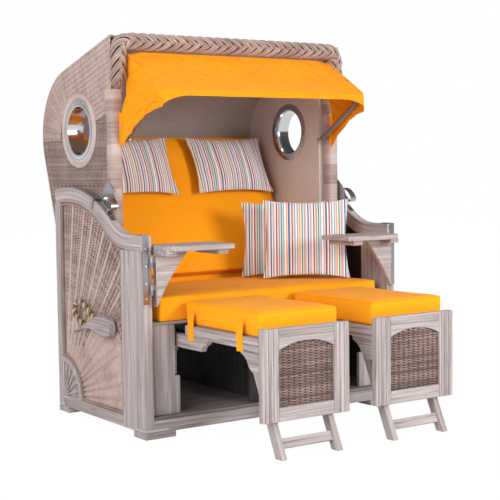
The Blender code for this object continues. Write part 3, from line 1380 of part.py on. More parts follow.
front_rail()
rear_frame()
rear_wicker()
floor_board()
centre_divider()
seat_board()
seat_cushion()
throw_pillows()
hood_back_wicker()
hood_lining()
braid()
back_cushion()
awning_bow()
awning_fabric()
for name, side in SIDES.items():
    side_frame(name, side)
    side_wicker(name, side)
    handle_board(name, side)
    rope_handle(name, side)
    strip(name, side)
    post_strap(name, side)
    front_board(name, side)
    pivot_bolt(name, side)
    hood_wall(name, side)
    hood_wicker(name, side)
    porthole(name, side)
    stile(name, side)
    guide_clip(name, side)
    neck_pillow(name, side)
    catch_y = PIVOT_Y + ARM_SWEEP_RADIUS * cos(CATCH_ANGLE)
    catch_z = PIVOT_Z + ARM_SWEEP_RADIUS * sin(CATCH_ANGLE)
    catch = empty(name + "_catch", (side * SIDE_MIDDLE, catch_y, catch_z), hood)
    catch_handle(name, side, catch)
    footrest = empty(name + "_footrest", (side * FOOTREST_X, FOOTREST_FRONT_Y, PANEL_LOW), base)
    footrest_frame(name, side, footrest)
    footrest_wicker(name, side, footrest)
    footrest_cushion(name, side, footrest)
    legs = empty(name + "_legs", (side * FOOTREST_X, LEG_PIVOT_Y, LEG_PIVOT_Z), footrest)
    leg_frame(name, side, legs)
    table = empty(name + "_table", (side * HINGE_X, HINGE_Y, TABLE_TOP_Z), base)
    hinge_leaf(name, side, table)
    table_bracket(name, side, table)
    table_top(name, side, table)


def centre_on_origin():
    """Slide the chair along Y until the origin is under the middle of its box."""
    bpy.context.view_layer.update()
    graph = bpy.context.evaluated_depsgraph_get()
    reach = []
    for piece in chair_collection.objects:
        if piece.type != "MESH":
            continue
        mesh = piece.evaluated_get(graph).to_mesh()
        reach += [(piece.matrix_world @ vert.co).y for vert in mesh.vertices]
    base.location.y = -(min(reach) + max(reach)) / 2
    bpy.context.view_layer.update()
    print("chair slid along Y by", round(base.location.y, 6))
    for piece in chair_collection.objects:
        if piece.type == "EMPTY":
            print(piece.name, [round(value, 6) for value in piece.matrix_world.translation])


centre_on_origin()
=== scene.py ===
"""Looks of the two-seat hooded beach chair: grey-washed timber, woven wicker, plaited and
wound edges, orange canvas cushions and awning, striped pillows and polished steel."""
import random
from math import acos, asin, atan2, ceil, cos, floor, hypot, pi, radians, sin, sqrt, tan

import bmesh
import bpy
from mathutils import Euler, Matrix, Vector, noise


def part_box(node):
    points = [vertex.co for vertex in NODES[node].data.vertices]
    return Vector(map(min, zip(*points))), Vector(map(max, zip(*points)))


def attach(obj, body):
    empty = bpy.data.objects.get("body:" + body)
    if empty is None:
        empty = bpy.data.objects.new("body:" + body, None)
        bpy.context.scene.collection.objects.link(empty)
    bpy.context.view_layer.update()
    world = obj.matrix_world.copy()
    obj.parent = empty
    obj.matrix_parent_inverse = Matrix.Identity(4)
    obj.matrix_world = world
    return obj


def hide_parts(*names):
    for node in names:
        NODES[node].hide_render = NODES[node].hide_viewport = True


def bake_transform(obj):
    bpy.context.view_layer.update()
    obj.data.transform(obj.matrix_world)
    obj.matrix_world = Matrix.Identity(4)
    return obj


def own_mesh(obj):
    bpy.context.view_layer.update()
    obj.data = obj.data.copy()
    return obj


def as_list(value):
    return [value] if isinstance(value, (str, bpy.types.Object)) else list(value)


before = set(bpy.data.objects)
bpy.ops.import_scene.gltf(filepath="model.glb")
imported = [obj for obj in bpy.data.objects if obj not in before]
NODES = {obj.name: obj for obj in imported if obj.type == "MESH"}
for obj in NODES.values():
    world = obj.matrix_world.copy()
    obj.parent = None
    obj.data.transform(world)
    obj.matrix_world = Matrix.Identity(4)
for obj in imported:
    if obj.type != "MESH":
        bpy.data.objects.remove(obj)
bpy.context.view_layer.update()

SIDES = {"left": -1, "right": 1}
dice = random.Random(7)
UP = Vector((0, 0, 1))
AHEAD = Vector((0, 1, 0))
RIGHT = Vector((1, 0, 0))

# Places are measured from the floor under the middle of the front posts
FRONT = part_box("left_side_frame")[0].y
HALF_WIDTH = -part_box("left_side_frame")[0].x
SMALL_GAP = 0.0003
SIDE_THICK = 0.040
SIDE_INNER = HALF_WIDTH - SIDE_THICK
FOOT_HEIGHT = 0.026
RAIL_TOP = 0.074
CASE_DEPTH = 0.785
FRONT_POST = 0.185
REAR_POST = 0.044
SUN_CORNER = (CASE_DEPTH - REAR_POST, RAIL_TOP)
SUN_RADIUS = 0.175
SUN_RIM = 0.022
SUN_FACE = HALF_WIDTH - 0.0085
ARM_HEIGHT = 0.8155
ARM_WIDTH = 0.062
SWEEP = 0.630
FLARE = 0.247
PIVOT = (0.660, 0.370)
CROWN = (0.703, 1.224)
CROWN_RADIUS = 0.298
ROOF_SLOPE = radians(15.0)
BACK_LEAN = radians(18.0)
BACKREST_LEAN = radians(25.9)
HOOD_HALF = 0.600
SKIN_SETBACK = 0.0035
SKIN_X = HOOD_HALF - SKIN_SETBACK
PORTHOLE = (0.630, 1.245)
RING_INNER = 0.139
RING_OUTER = 0.160
RING_COVER = RING_OUTER - 0.006


def place(x, y, z):
    """A point in the chair's own measures as a point of the frame."""
    return Vector((x, FRONT + y, z))


def scaled(colour, share):
    """A lighter or darker colour."""
    return tuple(part * share for part in colour)


# Materials

class Nodes:
    """Builds a node tree. An input is given as a value or as another node's socket."""

    def __init__(self, owner):
        owner.use_nodes = True
        self.owner = owner
        self.tree = owner.node_tree

    def feed(self, node, inputs):
        """Give a node its inputs."""
        for key, value in inputs.items():
            if isinstance(value, bpy.types.NodeSocket):
                self.tree.links.new(value, node.inputs[key])
            else:
                node.inputs[key].default_value = value

    def add(self, kind, inputs=None, **settings):
        """A node with its settings and inputs."""
        made = self.tree.nodes.new(kind)
        for key, value in settings.items():
            setattr(made, key, value)
        self.feed(made, inputs or {})
        return made

    def math(self, operation, *terms):
        """The result of a Math node."""
        return self.add("ShaderNodeMath", dict(enumerate(terms)), operation=operation).outputs[0]

    def mix(self, factor, *colours):
        """A mix of two colours."""
        inputs = {0: factor}
        for index, value in zip((6, 7), colours):
            inputs[index] = (*value, 1.0) if isinstance(value, tuple) else value
        return self.add("ShaderNodeMix", inputs, data_type="RGBA").outputs[2]

    def level(self, value, low, high, out_low=0.0, out_high=1.0):
        """A value mapped from one range to another, held at its ends."""
        return self.add("ShaderNodeMapRange", {"Value": value, "From Min": low, "From Max": high,
                                               "To Min": out_low, "To Max": out_high}).outputs[0]

    def wash(self, colour, other, value, low, high, out_low, out_high):
        """A colour with another one laid over it by the level of a value."""
        return self.mix(self.level(value, low, high, out_low, out_high), colour, other)

    def speckle(self, vector, scale, detail=3.0, roughness=0.5, distortion=0.0):
        """The value of a noise, its scale given as one number or along each axis."""
        if isinstance(scale, tuple):
            vector = self.add("ShaderNodeMapping", {"Vector": vector, "Scale": scale}).outputs[0]
            scale = 1.0
        return self.add("ShaderNodeTexNoise", {
            "Vector": vector, "Scale": scale, "Detail": detail, "Roughness": roughness,
            "Distortion": distortion}).outputs[0]

    def ramp(self, factor, stops, interpolation="LINEAR"):
        """The colour of a ramp with (place, colour) stops."""
        made = self.add("ShaderNodeValToRGB", {"Fac": factor})
        line = made.color_ramp
        line.interpolation = interpolation
        while len(line.elements) < len(stops):
            line.elements.new(1.0)
        for element, (spot, colour) in zip(line.elements, stops):
            element.position = spot
            element.color = (*colour, 1.0)
        return made.outputs[0]

    def across(self, vector):
        """The x part of a vector."""
        return self.add("ShaderNodeSeparateXYZ", {"Vector": vector}).outputs["X"]

    def seen_directly(self):
        """The light path's node, and 1 for rays from the camera, a mirror or clear glass."""
        path = self.add("ShaderNodeLightPath").outputs
        return path, self.math("MAXIMUM", path["Is Camera Ray"], self.math(
            "MAXIMUM", path["Is Glossy Ray"], path["Is Transmission Ray"]))


class Look(Nodes):
    """A material with its shader and the object's own coordinates."""

    def __init__(self, name, roughness, metallic=0.0):
        super().__init__(bpy.data.materials.new(name))
        self.shader = self.tree.nodes["Principled BSDF"]
        self.where = self.add("ShaderNodeTexCoord").outputs["Object"]
        self.feed(self.shader, {"Roughness": roughness, "Metallic": metallic})

    def done(self, colour, height=None, strength=0.0, distance=0.0, **more):
        """The material, with its colour, the relief of a height value and other inputs."""
        inputs = {"Base Color": (*colour, 1.0) if isinstance(colour, tuple) else colour}
        if height is not None:
            inputs["Normal"] = self.add("ShaderNodeBump", {
                "Height": height, "Strength": strength, "Distance": distance}).outputs[0]
        for key, value in more.items():
            inputs[key.replace("_", " ")] = value
        self.feed(self.shader, inputs)
        return self.owner


WOOD_TONES = ((0.104, 0.087, 0.089), (0.348, 0.297, 0.290), (0.530, 0.462, 0.452), (0.40, 0.33, 0.30))


def wood(name, along=None, shade_factor=1.0):
    """Weathered, grey-washed timber. Its grain runs along one axis, or along the first part of
    the grain places that a board holds. A shade factor below 1 darkens all its tones: painted shade."""
    look = Look(name, 0.72)
    where = look.where
    if along is None:
        where = look.add("ShaderNodeAttribute", attribute_name="grain").outputs["Vector"]
        along = 0

    def streaks(broad, run, *shape):
        scale = [broad] * 3
        scale[along] = run
        return look.speckle(where, tuple(scale), *shape)

    lines = streaks(84.0, 2.2, 5.0, 0.60, 0.4)
    pores = streaks(230.0, 6.0, 3.0, 0.6)
    split = look.math("ABSOLUTE", look.math("SUBTRACT", streaks(38.0, 0.7, 2.0), 0.5))
    dark, middle, pale, grey = [scaled(tone, shade_factor) for tone in WOOD_TONES]
    colour = look.ramp(lines, [(0.28, dark), (0.38, scaled(middle, 0.84)), (0.50, middle), (0.66, pale)])
    colour = look.wash(colour, dark, pores, 0.34, 0.44, 0.40, 0.0)
    colour = look.wash(colour, pale, streaks(14.0, 0.9, 2.0), 0.35, 0.65, 0.0, 0.34)
    colour = look.wash(colour, scaled(dark, 0.7), split, 0.0, 0.018, 0.62, 0.0)
    colour = look.wash(colour, grey, look.speckle(where, 5.0, 4.0, 0.6), 0.40, 0.70, 0.0, 0.22)
    height = look.math("ADD", look.math("MULTIPLY", lines, 0.7), look.math("MULTIPLY", pores, 0.3))
    return look.done(colour, height, 0.55, 0.0016, Roughness=look.level(lines, 0.3, 0.7, 0.86, 0.62))


def strand(name, dark, middle, pale, roughness=0.52, spread=0.5):
    """Round synthetic wicker strand: each strand has its own tone, fine lines run along it."""
    look = Look(name, roughness)
    tone = look.add("ShaderNodeAttribute", attribute_name="tone").outputs["Fac"]
    patches = look.speckle(look.where, 9.0, 3.0, 0.6)
    fine = look.speckle(look.where, 420.0, 2.0)
    value = look.math("ADD", look.math("MULTIPLY", tone, spread),
                      look.math("MULTIPLY", patches, 1.0 - spread))
    colour = look.ramp(value, [(0.22, dark), (0.50, middle), (0.80, pale)])
    return look.done(look.wash(colour, dark, fine, 0.35, 0.65, 0.22, 0.0), fine, 0.25, 0.0006)


THREADS = 1 / 0.0011


def canvas(name, colour, deep, **thin):
    """Dyed canvas: a fine plain weave, faint cloudiness and a soft sheen."""
    look = Look(name, 0.82)
    weave = look.math("ADD", look.speckle(look.where, (THREADS, THREADS, 90.0), 1.0),
                      look.speckle(look.where, (90.0, 90.0, THREADS), 1.0))
    shade = look.wash(colour, deep, look.speckle(look.where, 6.0, 3.0, 0.55), 0.35, 0.7, 0.0, 0.28)
    shade = look.wash(shade, deep, weave, 0.85, 1.15, 0.10, 0.0)
    return look.done(shade, weave, 0.20, 0.0005, Sheen_Weight=0.04, Sheen_Roughness=0.5,
                     Specular_IOR_Level=0.10, **thin)


STRIPE_REPEAT = 0.168
STRIPE_TONES = {
    "cream": (0.86, 0.80, 0.74), "white": (0.92, 0.91, 0.90), "blue": (0.035, 0.10, 0.30),
    "green": (0.10, 0.25, 0.15), "red": (0.40, 0.04, 0.06), "orange": (0.84, 0.34, 0.18),
    "grey": (0.30, 0.33, 0.37), "sky": (0.26, 0.41, 0.56), "pink": (0.76, 0.42, 0.33)}
STRIPE_RUN = """
    3 white 4 blue 2 white 3 sky 3 pink 3 white 4 red 3 cream 4 grey 2 white 4 green 2 cream 4 sky
    4 white 4 orange 2 cream 4 blue 2 grey 3 white 4 red 3 cream 4 grey 3 white 4 sky 2 cream
    4 orange 3 white 4 green 2 white 3 grey 4 pink""".split()


def stripes(name):
    """Printed stripes along the pillow's height."""
    look = Look(name, 0.85)
    waver = look.math("SUBTRACT", look.speckle(look.where, 14.0, 2.0), 0.5)
    across = look.math("ADD", look.across(look.where), look.math("MULTIPLY", waver, 0.0016))
    share = look.math("FRACT", look.math("MULTIPLY", across, 1 / STRIPE_REPEAT))
    widths = [int(width) for width in STRIPE_RUN[::2]]
    stops = [(sum(widths[:i]) / sum(widths), STRIPE_TONES[tone]) for i, tone in enumerate(STRIPE_RUN[1::2])]
    thread = look.speckle(look.where, (900.0, 900.0, 900.0), 1.0)
    colour = look.wash(look.ramp(share, stops, "CONSTANT"), (0.20, 0.18, 0.17), thread, 0.3, 0.7, 0.16, 0.0)
    return look.done(colour, thread, 0.2, 0.0005, Sheen_Weight=0.2)


def lining_cloth(name, shade, painted_shade_beyond=None):
    """Coarse woven lining; the shade share scales its tones, which paints the light and shade each wall gets. The
    outer face of a wall behind the wicker is painted near black: painted shade.
    """
    look = Look(name, 0.9)
    thread = look.speckle(look.where, (700.0, 700.0, 700.0), 2.0)
    tones = ((0.30, (0.330, 0.280, 0.258)), (0.55, (0.520, 0.455, 0.425)), (0.80, (0.680, 0.615, 0.580)))
    colour = look.ramp(thread, [(stop, scaled(tone, shade)) for stop, tone in tones])
    colour = look.wash(colour, scaled((0.39, 0.335, 0.31), shade), look.speckle(look.where, 4.0, 3.0, 0.6),
                       0.35, 0.65, 0.0, 0.35)
    # painted shade: past this distance the wall's outer face, seen through the open weave, turns near black
    if painted_shade_beyond is not None:
        away = look.math("ABSOLUTE", look.across(look.where))
        colour = look.wash(colour, (0.030, 0.024, 0.021), away, painted_shade_beyond, painted_shade_beyond + 0.004, 0.0, 1.0)
    return look.done(colour, thread, 0.35, 0.0008, Sheen_Weight=0.15)


def metal(name, colour, roughness, scratch=0.05, metallic=1.0):
    """Stainless steel with faint brushing and smudges."""
    look = Look(name, roughness, metallic)
    brushing = look.speckle(look.where, (60.0, 900.0, 900.0), 2.0)
    smudge = look.speckle(look.where, 22.0, 3.0, 0.6)
    return look.done(look.wash(colour, scaled(colour, 0.72), smudge, 0.4, 0.75, 0.0, 0.10), brushing,
                     0.02, 0.0003, Roughness=look.level(smudge, 0.3, 0.8, roughness, roughness + scratch))


GRAIN = wood("grey_wood_boards")
GRAIN_X = wood("grey_wood_across", 0)
GRAIN_Z = wood("grey_wood_upright", 2)
# painted shade: the timber at half its brightness, for the floor board in the dark inside of the base
GRAIN_PAINTED_SHADE = wood("grey_wood_painted_shade", 0, 0.50)
# painted shade: the timber at a tenth of its brightness, for the centre divider in the deep shade between the
# footrests
GRAIN_DEEP_SHADE = wood("grey_wood_deep_shade", 2, 0.10)
WICKER = strand("wicker_strand", (0.165, 0.108, 0.088), (0.385, 0.268, 0.230), (0.600, 0.462, 0.412))
WINDING = strand("wicker_winding", (0.290, 0.205, 0.178), (0.510, 0.392, 0.348), (0.680, 0.570, 0.530))
FOOT_WICKER = strand("wicker_footrest", (0.110, 0.068, 0.055), (0.275, 0.180, 0.150), (0.500, 0.345, 0.298))
# near-black strand: painted shade on the footrest stakes and the braid's core; on the rear weave it is the
# webbing's own black, darkened further as painted shade of the base's inside
SHADOW_WICKER = strand("wicker_black_and_painted_shade", (0.020, 0.016, 0.014), (0.045, 0.036, 0.032), (0.090, 0.075, 0.068))
STAKE = strand("wicker_stake", (0.100, 0.078, 0.068), (0.210, 0.168, 0.148), (0.340, 0.285, 0.258))
ROPE = strand("rope_fibre", (0.110, 0.062, 0.032), (0.330, 0.215, 0.125), (0.600, 0.440, 0.290), 0.85, 0.75)
ORANGE = canvas("orange_canvas", (0.970, 0.368, 0.009), (0.880, 0.280, 0.005))
# painted shade: the awning's orange canvas is a little darker than the cushions', to offset the light on its top
SHADED_AWNING = canvas("awning_canvas", (0.930, 0.318, 0.007), (0.820, 0.232, 0.004), Subsurface_Weight=0.35,
                Subsurface_Radius=(0.010, 0.004, 0.001), Subsurface_Scale=1.0)
STRIPED = stripes("striped_canvas")
LINING = lining_cloth("lining_cloth", 0.82)
# painted light: the lining's cloth made about 1.7 times lighter on the hood's inner walls, which get little light
LIT_WALL_CLOTH = lining_cloth("wall_cloth_painted_light", 1.38, 0.570)
STEEL = metal("polished_steel", (0.60, 0.59, 0.60), 0.14)
SATIN_STEEL = metal("satin_steel", (0.48, 0.47, 0.48), 0.28)
POST_STEEL = metal("post_steel", (0.34, 0.33, 0.345), 0.16, 0.02)
BOW_STEEL = metal("bow_bar", (0.30, 0.27, 0.26), 0.38, metallic=0.7)
# painted shade: a near-black sheet behind the open weave stands for the dark inside
PAINTED_SHADE_SHEET = Look("dark_backing", 0.95).done((0.020, 0.016, 0.014))


# Mesh tools

def mesh_of(name, points, faces, material):
    """A mesh with its material."""
    mesh = bpy.data.meshes.new(name)
    mesh.from_pydata(points, [], faces)
    mesh.materials.append(material)
    return mesh


def shown(name, data):
    """An object in the scene."""
    made = bpy.data.objects.new(name, data)
    bpy.context.scene.collection.objects.link(made)
    return made


def settle(piece, body, slot, replaced=()):
    """Make a piece ride on a body and hide the nodes that it stands for; slot is not used."""
    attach(piece, body)
    if replaced:
        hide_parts(*replaced)
    return piece


def frames(path, outs, loop=False):
    """Each point of a path with the side and the up direction of its section."""
    total = len(path)
    for i, point in enumerate(path):
        after = path[(i + 1) % total] if loop or i + 1 < total else point
        before = path[i - 1] if loop or i else point
        ahead = (after - before).normalized()
        side = (outs[i] if isinstance(outs, list) else outs).cross(ahead).normalized()
        yield point, side, ahead.cross(side)


class Form:
    """A mesh put together from closed parts. Each point holds a tone and a grain place."""

    def __init__(self):
        self.points = []
        self.faces = []
        self.tones = []
        self.grains = []

    def tube(self, rings, tone=0.5, grains=None, loop=False):
        """Join rings of equal count, counter-clockwise about the way they go."""
        start = len(self.points)
        count = len(rings[0])
        total = len(rings)
        for i, ring in enumerate(rings):
            self.points.extend(ring)
            self.grains.extend(grains[i] if grains else ring)
        self.tones.extend([tone] * (count * total))
        for i in range(total if loop else total - 1):
            a = start + i * count
            b = start + (i + 1) % total * count
            for j in range(count):
                k = (j + 1) % count
                self.faces.append((a + j, a + k, b + k, b + j))
        if not loop:
            last = start + (total - 1) * count
            self.faces.append(tuple(range(start + count - 1, start - 1, -1)))
            self.faces.append(tuple(range(last, last + count)))

    def sweep(self, path, outs, section, tone=0.5, loop=False):
        """Carry a section of (side, out) places along a path."""
        self.tube([[point + side * a + up * b for a, b in section]
                   for point, side, up in frames(path, outs, loop)], tone, loop=loop)

    def made(self, name, body, material, slot, replaced=(), tidy=False):
        """Turn the form into an object that rides on a body."""
        mesh = mesh_of(name, self.points, self.faces, material)
        mesh.attributes.new("tone", "FLOAT", "POINT").data.foreach_set("value", self.tones)
        flat = [value for spot in self.grains for value in spot]
        mesh.attributes.new("grain", "FLOAT_VECTOR", "POINT").data.foreach_set("vector", flat)
        if tidy:
            work = bmesh.new()
            work.from_mesh(mesh)
            bmesh.ops.recalc_face_normals(work, faces=work.faces)
            work.to_mesh(mesh)
            work.free()
        mesh.shade_smooth()
        mesh.set_sharp_from_angle(angle=radians(38.0))
        return settle(shown(name, mesh), body, slot, replaced)


def turns(count):
    """Even angles of a full turn."""
    return [2 * pi * k / count for k in range(count)]


def round_section(radius, sides=8, flatten=1.0):
    """A round or oval section, counter-clockwise."""
    return [(radius * cos(a), radius * flatten * sin(a)) for a in turns(sides)]


def arc(centre, radius, start, end, step=radians(3.0)):
    """Points on an arc, ends included."""
    count = max(2, round(abs(end - start) / step))
    return [(centre[0] + radius * cos(start + (end - start) * i / count),
             centre[1] + radius * sin(start + (end - start) * i / count)) for i in range(count + 1)]


def turn_of(outline):
    """1 for a counter-clockwise outline, -1 for a clockwise one."""
    area = sum(a[0] * b[1] - b[0] * a[1] for a, b in zip(outline, outline[1:] + outline[:1]))
    return 1 if area > 0 else -1


def shrunk(outline, width):
    """A closed outline moved inward by a width."""
    turn = turn_of(outline)
    result = []
    for i, point in enumerate(outline):
        ways = (Vector(point) - Vector(outline[i - 1]), Vector(outline[(i + 1) % len(outline)]) - Vector(point))
        first, second = [Vector((-way.y, way.x)).normalized() * turn for way in ways]
        middle = first + second
        if middle.length < 0.2:
            middle = first
        middle = middle.normalized()
        reach = width / max(0.5, middle.dot(first))
        result.append((point[0] + middle.x * reach, point[1] + middle.y * reach))
    return result


BOARD_EASE = 0.0022


def board(form, outline, low, high, lay, along=0, ease=BOARD_EASE):
    """A flat board from an outline. lay turns (a, b, c) into a point, along names the outline's
    direction of the grain: 0 or 1."""
    outline = outline[::turn_of(outline)]
    inner = shrunk(outline, ease)
    shift = dice.uniform(0.0, 9.0)
    levels = [(low, inner), (low + ease, outline), (high - ease, outline), (high, inner)]
    form.tube([[lay(a, b, c) for a, b in loop] for c, loop in levels], 0.5,
              [[Vector(((a, b)[along] + shift, (b, a)[along] + shift, c)) for a, b in loop]
               for c, loop in levels])


def box_outline(low, high):
    """A rectangle between two corners."""
    return [(low[0], low[1]), (high[0], low[1]), (high[0], high[1]), (low[0], high[1])]


def grooved(width, thick, grooves, ease=BOARD_EASE):
    """Section of a board: (across, out), with grooves cut in its outer face."""
    top = [(width, thick - ease), (width - ease, thick)]
    for spot, broad, deep in sorted(grooves, reverse=True):
        top += [(spot + broad / 2, thick), (spot + broad / 5, thick - deep),
                (spot - broad / 5, thick - deep), (spot - broad / 2, thick)]
    top += [(ease, thick), (0, thick - ease)]
    return [(0, ease), (ease, 0), (width - ease, 0), (width, ease)] + top


def plank(form, start, along, across, out, length, width, thick, grooves=()):
    """A straight board with grooves along its outer face."""
    section = grooved(width, thick, grooves)
    shift = dice.uniform(0.0, 9.0)
    order = -1 if along.dot(across.cross(out)) < 0 else 1
    rings = []
    grains = []
    for run, squeeze in ((0.0, 1), (BOARD_EASE, 0), (length - BOARD_EASE, 0), (length, 1)):
        ring = []
        grain = []
        for a, b in section:
            if squeeze:
                a += BOARD_EASE * 0.8 * (1 if a < width / 2 else -1) * (a < 0.004 or a > width - 0.004)
                b += BOARD_EASE * 0.8 * (1 if b < thick / 2 else -1)
            ring.append(start + along * run + across * a + out * b)
            grain.append(Vector((run + shift, a + shift, b)))
        rings.append(ring[::order])
        grains.append(grain[::order])
    form.tube(rings, 0.5, grains)


def twisted(form, path, radius, strands, lay_length, out, sides=6, tones=None):
    """Strands twisted about a path, like a laid rope."""
    runs = [0.0]
    for a, b in zip(path, path[1:]):
        runs.append(runs[-1] + (b - a).length)
    share = 0.5 if strands > 2 else 0.52
    for k in range(strands):
        route = []
        for run, (point, side, up) in zip(runs, frames(path, out)):
            angle = 2 * pi * (run / lay_length + k / strands)
            route.append(point + side * (radius * share * cos(angle)) + up * (radius * share * sin(angle)))
        form.sweep(route, out, round_section(radius * (1 - share) * 0.92, sides),
                   tones[k] if tones else dice.uniform(0.2, 0.8))


def smooth_route(route, per_span):
    """A smooth curve through a route's points."""
    padded = [route[0] * 2 - route[1]] + route + [route[-1] * 2 - route[-2]]
    points = []
    for a, b, c, d in zip(padded, padded[1:], padded[2:], padded[3:]):
        for step in range(per_span):
            t = step / per_span
            points.append((b * 2 + (c - a) * t + (a * 2 - b * 5 + c * 4 - d) * t * t
                           + (b * 3 - a - c * 3 + d) * t * t * t) / 2)
    return points + [padded[-2]]


def runs_inside(samples, inside, least=3):
    """The stretches of a row of samples that lie inside a region and aren't too short."""
    run = []
    for sample in [*samples, None]:
        if sample is not None and inside(sample):
            run.append(sample)
        else:
            if len(run) >= least:
                yield run
            run = []


# Lines of the chair

def arm_line(inset, front_y, rear_y):
    """Top of the side frame from front to rear: flat arm, hollow flare, sweep about the pivot."""
    flare = FLARE + inset
    sweep = SWEEP - inset
    centre_z = ARM_HEIGHT + FLARE
    rise = centre_z - PIVOT[1]
    centre_y = PIVOT[0] - sqrt((SWEEP + FLARE) ** 2 - rise ** 2)
    meet = atan2(rise, centre_y - PIVOT[0])
    start = -pi / 2 if front_y < centre_y else -acos((front_y - centre_y) / flare)
    line = [(front_y, ARM_HEIGHT - inset)] if front_y < centre_y else []
    line += arc((centre_y, centre_z), flare, start, meet - pi)
    return line + arc(PIVOT, sweep, meet, acos((rear_y - PIVOT[0]) / sweep))[1:]


def hood_line(inset, front_y, low_z):
    """Side profile of the hood from the front of its roof, over the crown and down the back."""
    crown = arc(CROWN, CROWN_RADIUS - inset, pi / 2 - ROOF_SLOPE, -BACK_LEAN)
    first_y, first_z = crown[0]
    last_y, last_z = crown[-1]
    return ([(front_y, first_z + (first_y - front_y) * tan(ROOF_SLOPE))] + crown
            + [(last_y - (last_z - low_z) * tan(BACK_LEAN), low_z)])


def along_line(line, step):
    """Points, outward normals and distances at even steps along a 2-D line."""
    lengths = [0.0]
    for a, b in zip(line, line[1:]):
        lengths.append(lengths[-1] + hypot(b[0] - a[0], b[1] - a[1]))
    count = max(1, round(lengths[-1] / step))
    result = []
    index = 0
    for i in range(count + 1):
        target = lengths[-1] * i / count
        while index < len(lengths) - 2 and lengths[index + 1] < target:
            index += 1
        a, b = Vector(line[index]), Vector(line[index + 1])
        share = (target - lengths[index]) / max(1e-9, lengths[index + 1] - lengths[index])
        direction = (b - a).normalized()
        result.append((a + (b - a) * share, Vector((-direction.y, direction.x)), target))
    return result


# Timber

FINE_GROOVE = 0.0035
GROOVE_DEEP = 0.0022


def fine(*spots):
    """Grooves of the usual width and depth."""
    return [(spot, FINE_GROOVE, GROOVE_DEEP) for spot in spots]


def side_frame(name, side):
    """Front post, swept arm, rails and carved corner of one side."""
    form = Form()
    out = RIGHT * side
    reach = CASE_DEPTH - REAR_POST / 2 - PIVOT[0]
    rear_top = PIVOT[1] + sqrt((SWEEP - ARM_WIDTH) ** 2 - reach ** 2) + 0.004

    def stand(y, *size_and_grooves):
        plank(form, place(side * SIDE_INNER, y, FOOT_HEIGHT), UP, AHEAD, out, *size_and_grooves)

    stand(0, ARM_HEIGHT - ARM_WIDTH - FOOT_HEIGHT, FRONT_POST, SIDE_THICK, fine(0.030, 0.050, 0.118, 0.158))
    stand(CASE_DEPTH - REAR_POST, rear_top - FOOT_HEIGHT, REAR_POST, SIDE_THICK, fine(0.012))
    plank(form, place(side * SIDE_INNER, FRONT_POST, FOOT_HEIGHT), AHEAD, UP, out,
          CASE_DEPTH - REAR_POST - FRONT_POST, RAIL_TOP - FOOT_HEIGHT, SIDE_THICK, fine(0.014))
    swept_arm(form, side)
    sun(form, side)
    plank(form, place(side * SIDE_INNER, PIVOT[0] - 0.040, RAIL_TOP - 0.001), UP, AHEAD, out, 0.860, 0.080, 0.012)
    form.made(name + "_side_boards", "base", GRAIN, "grey_wood", [name + "_side_frame"], tidy=True)


def swept_arm(form, side):
    """The arm rail with a groove along each edge, carried along the arm line."""
    section = grooved(ARM_WIDTH, SIDE_THICK, [(0.013, 0.0020, 0.0014), (0.052, 0.0020, 0.0014)], 0.003)
    shift = dice.uniform(0.0, 9.0)
    rings = []
    grains = []
    for spot, normal, run in along_line(arm_line(0, 0, CASE_DEPTH), 0.02):
        rings.append([place(side * (SIDE_INNER + b), spot.x - normal.x * a, spot.y - normal.y * a)
                      for a, b in section])
        grains.append([Vector((run + shift, a + shift, b)) for a, b in section])
    form.tube(rings, 0.5, grains)


def sun(form, side):
    """Quarter sun: a sunk ground, wedge-shaped rays and a rim."""
    def cut(outline, low=SUN_FACE, high=HALF_WIDTH, ease=BOARD_EASE):
        board(form, outline, low, high, lambda a, b, c: place(side * c, a, b), 1, ease)

    rim = arc(SUN_CORNER, SUN_RADIUS, pi / 2, pi)
    cut([SUN_CORNER] + rim, SIDE_INNER, HALF_WIDTH - 0.008)
    cut(rim + arc(SUN_CORNER, SUN_RADIUS - SUN_RIM, pi, pi / 2))
    pitch = pi / 2 / 6
    for ray in range(7):
        middle = pi / 2 + pitch * ray
        near, inner_near, inner_far, far = [
            min(pi, max(pi / 2, middle + pitch * share)) for share in (-0.50, -0.17, 0.17, 0.50)]
        cut(arc(SUN_CORNER, 0.030, near, far)
            + arc(SUN_CORNER, SUN_RADIUS - SUN_RIM + 0.001, inner_far, inner_near), ease=0.0012)
    cut([SUN_CORNER] + arc(SUN_CORNER, 0.034, pi / 2, pi))


FOOT_X = 0.271
FOOT_HALF = 0.203
FOOT_FRONT = -0.565
PANEL_THICK = 0.030
PANEL_REAR = FOOT_FRONT + PANEL_THICK
PANEL_LOW = 0.138
PANEL_HIGH = 0.487
BAY_HALF = 0.130
BAY_LOW = 0.190
BAY_SPRING = 0.403
BAY_CROWN = 0.433
HEAD_LOW = 0.453
RAIL_THICK = 0.026
FOOT_RAIL_TOP = 0.450


def bay_arch():
    """Arch over a footrest's bay, left to right."""
    rise = BAY_CROWN - BAY_SPRING
    radius = (BAY_HALF ** 2 + rise ** 2) / (2 * rise)
    spread = asin(BAY_HALF / radius)
    return arc((0, BAY_CROWN - radius), radius, pi / 2 + spread, pi / 2 - spread, 2 * spread / 12)


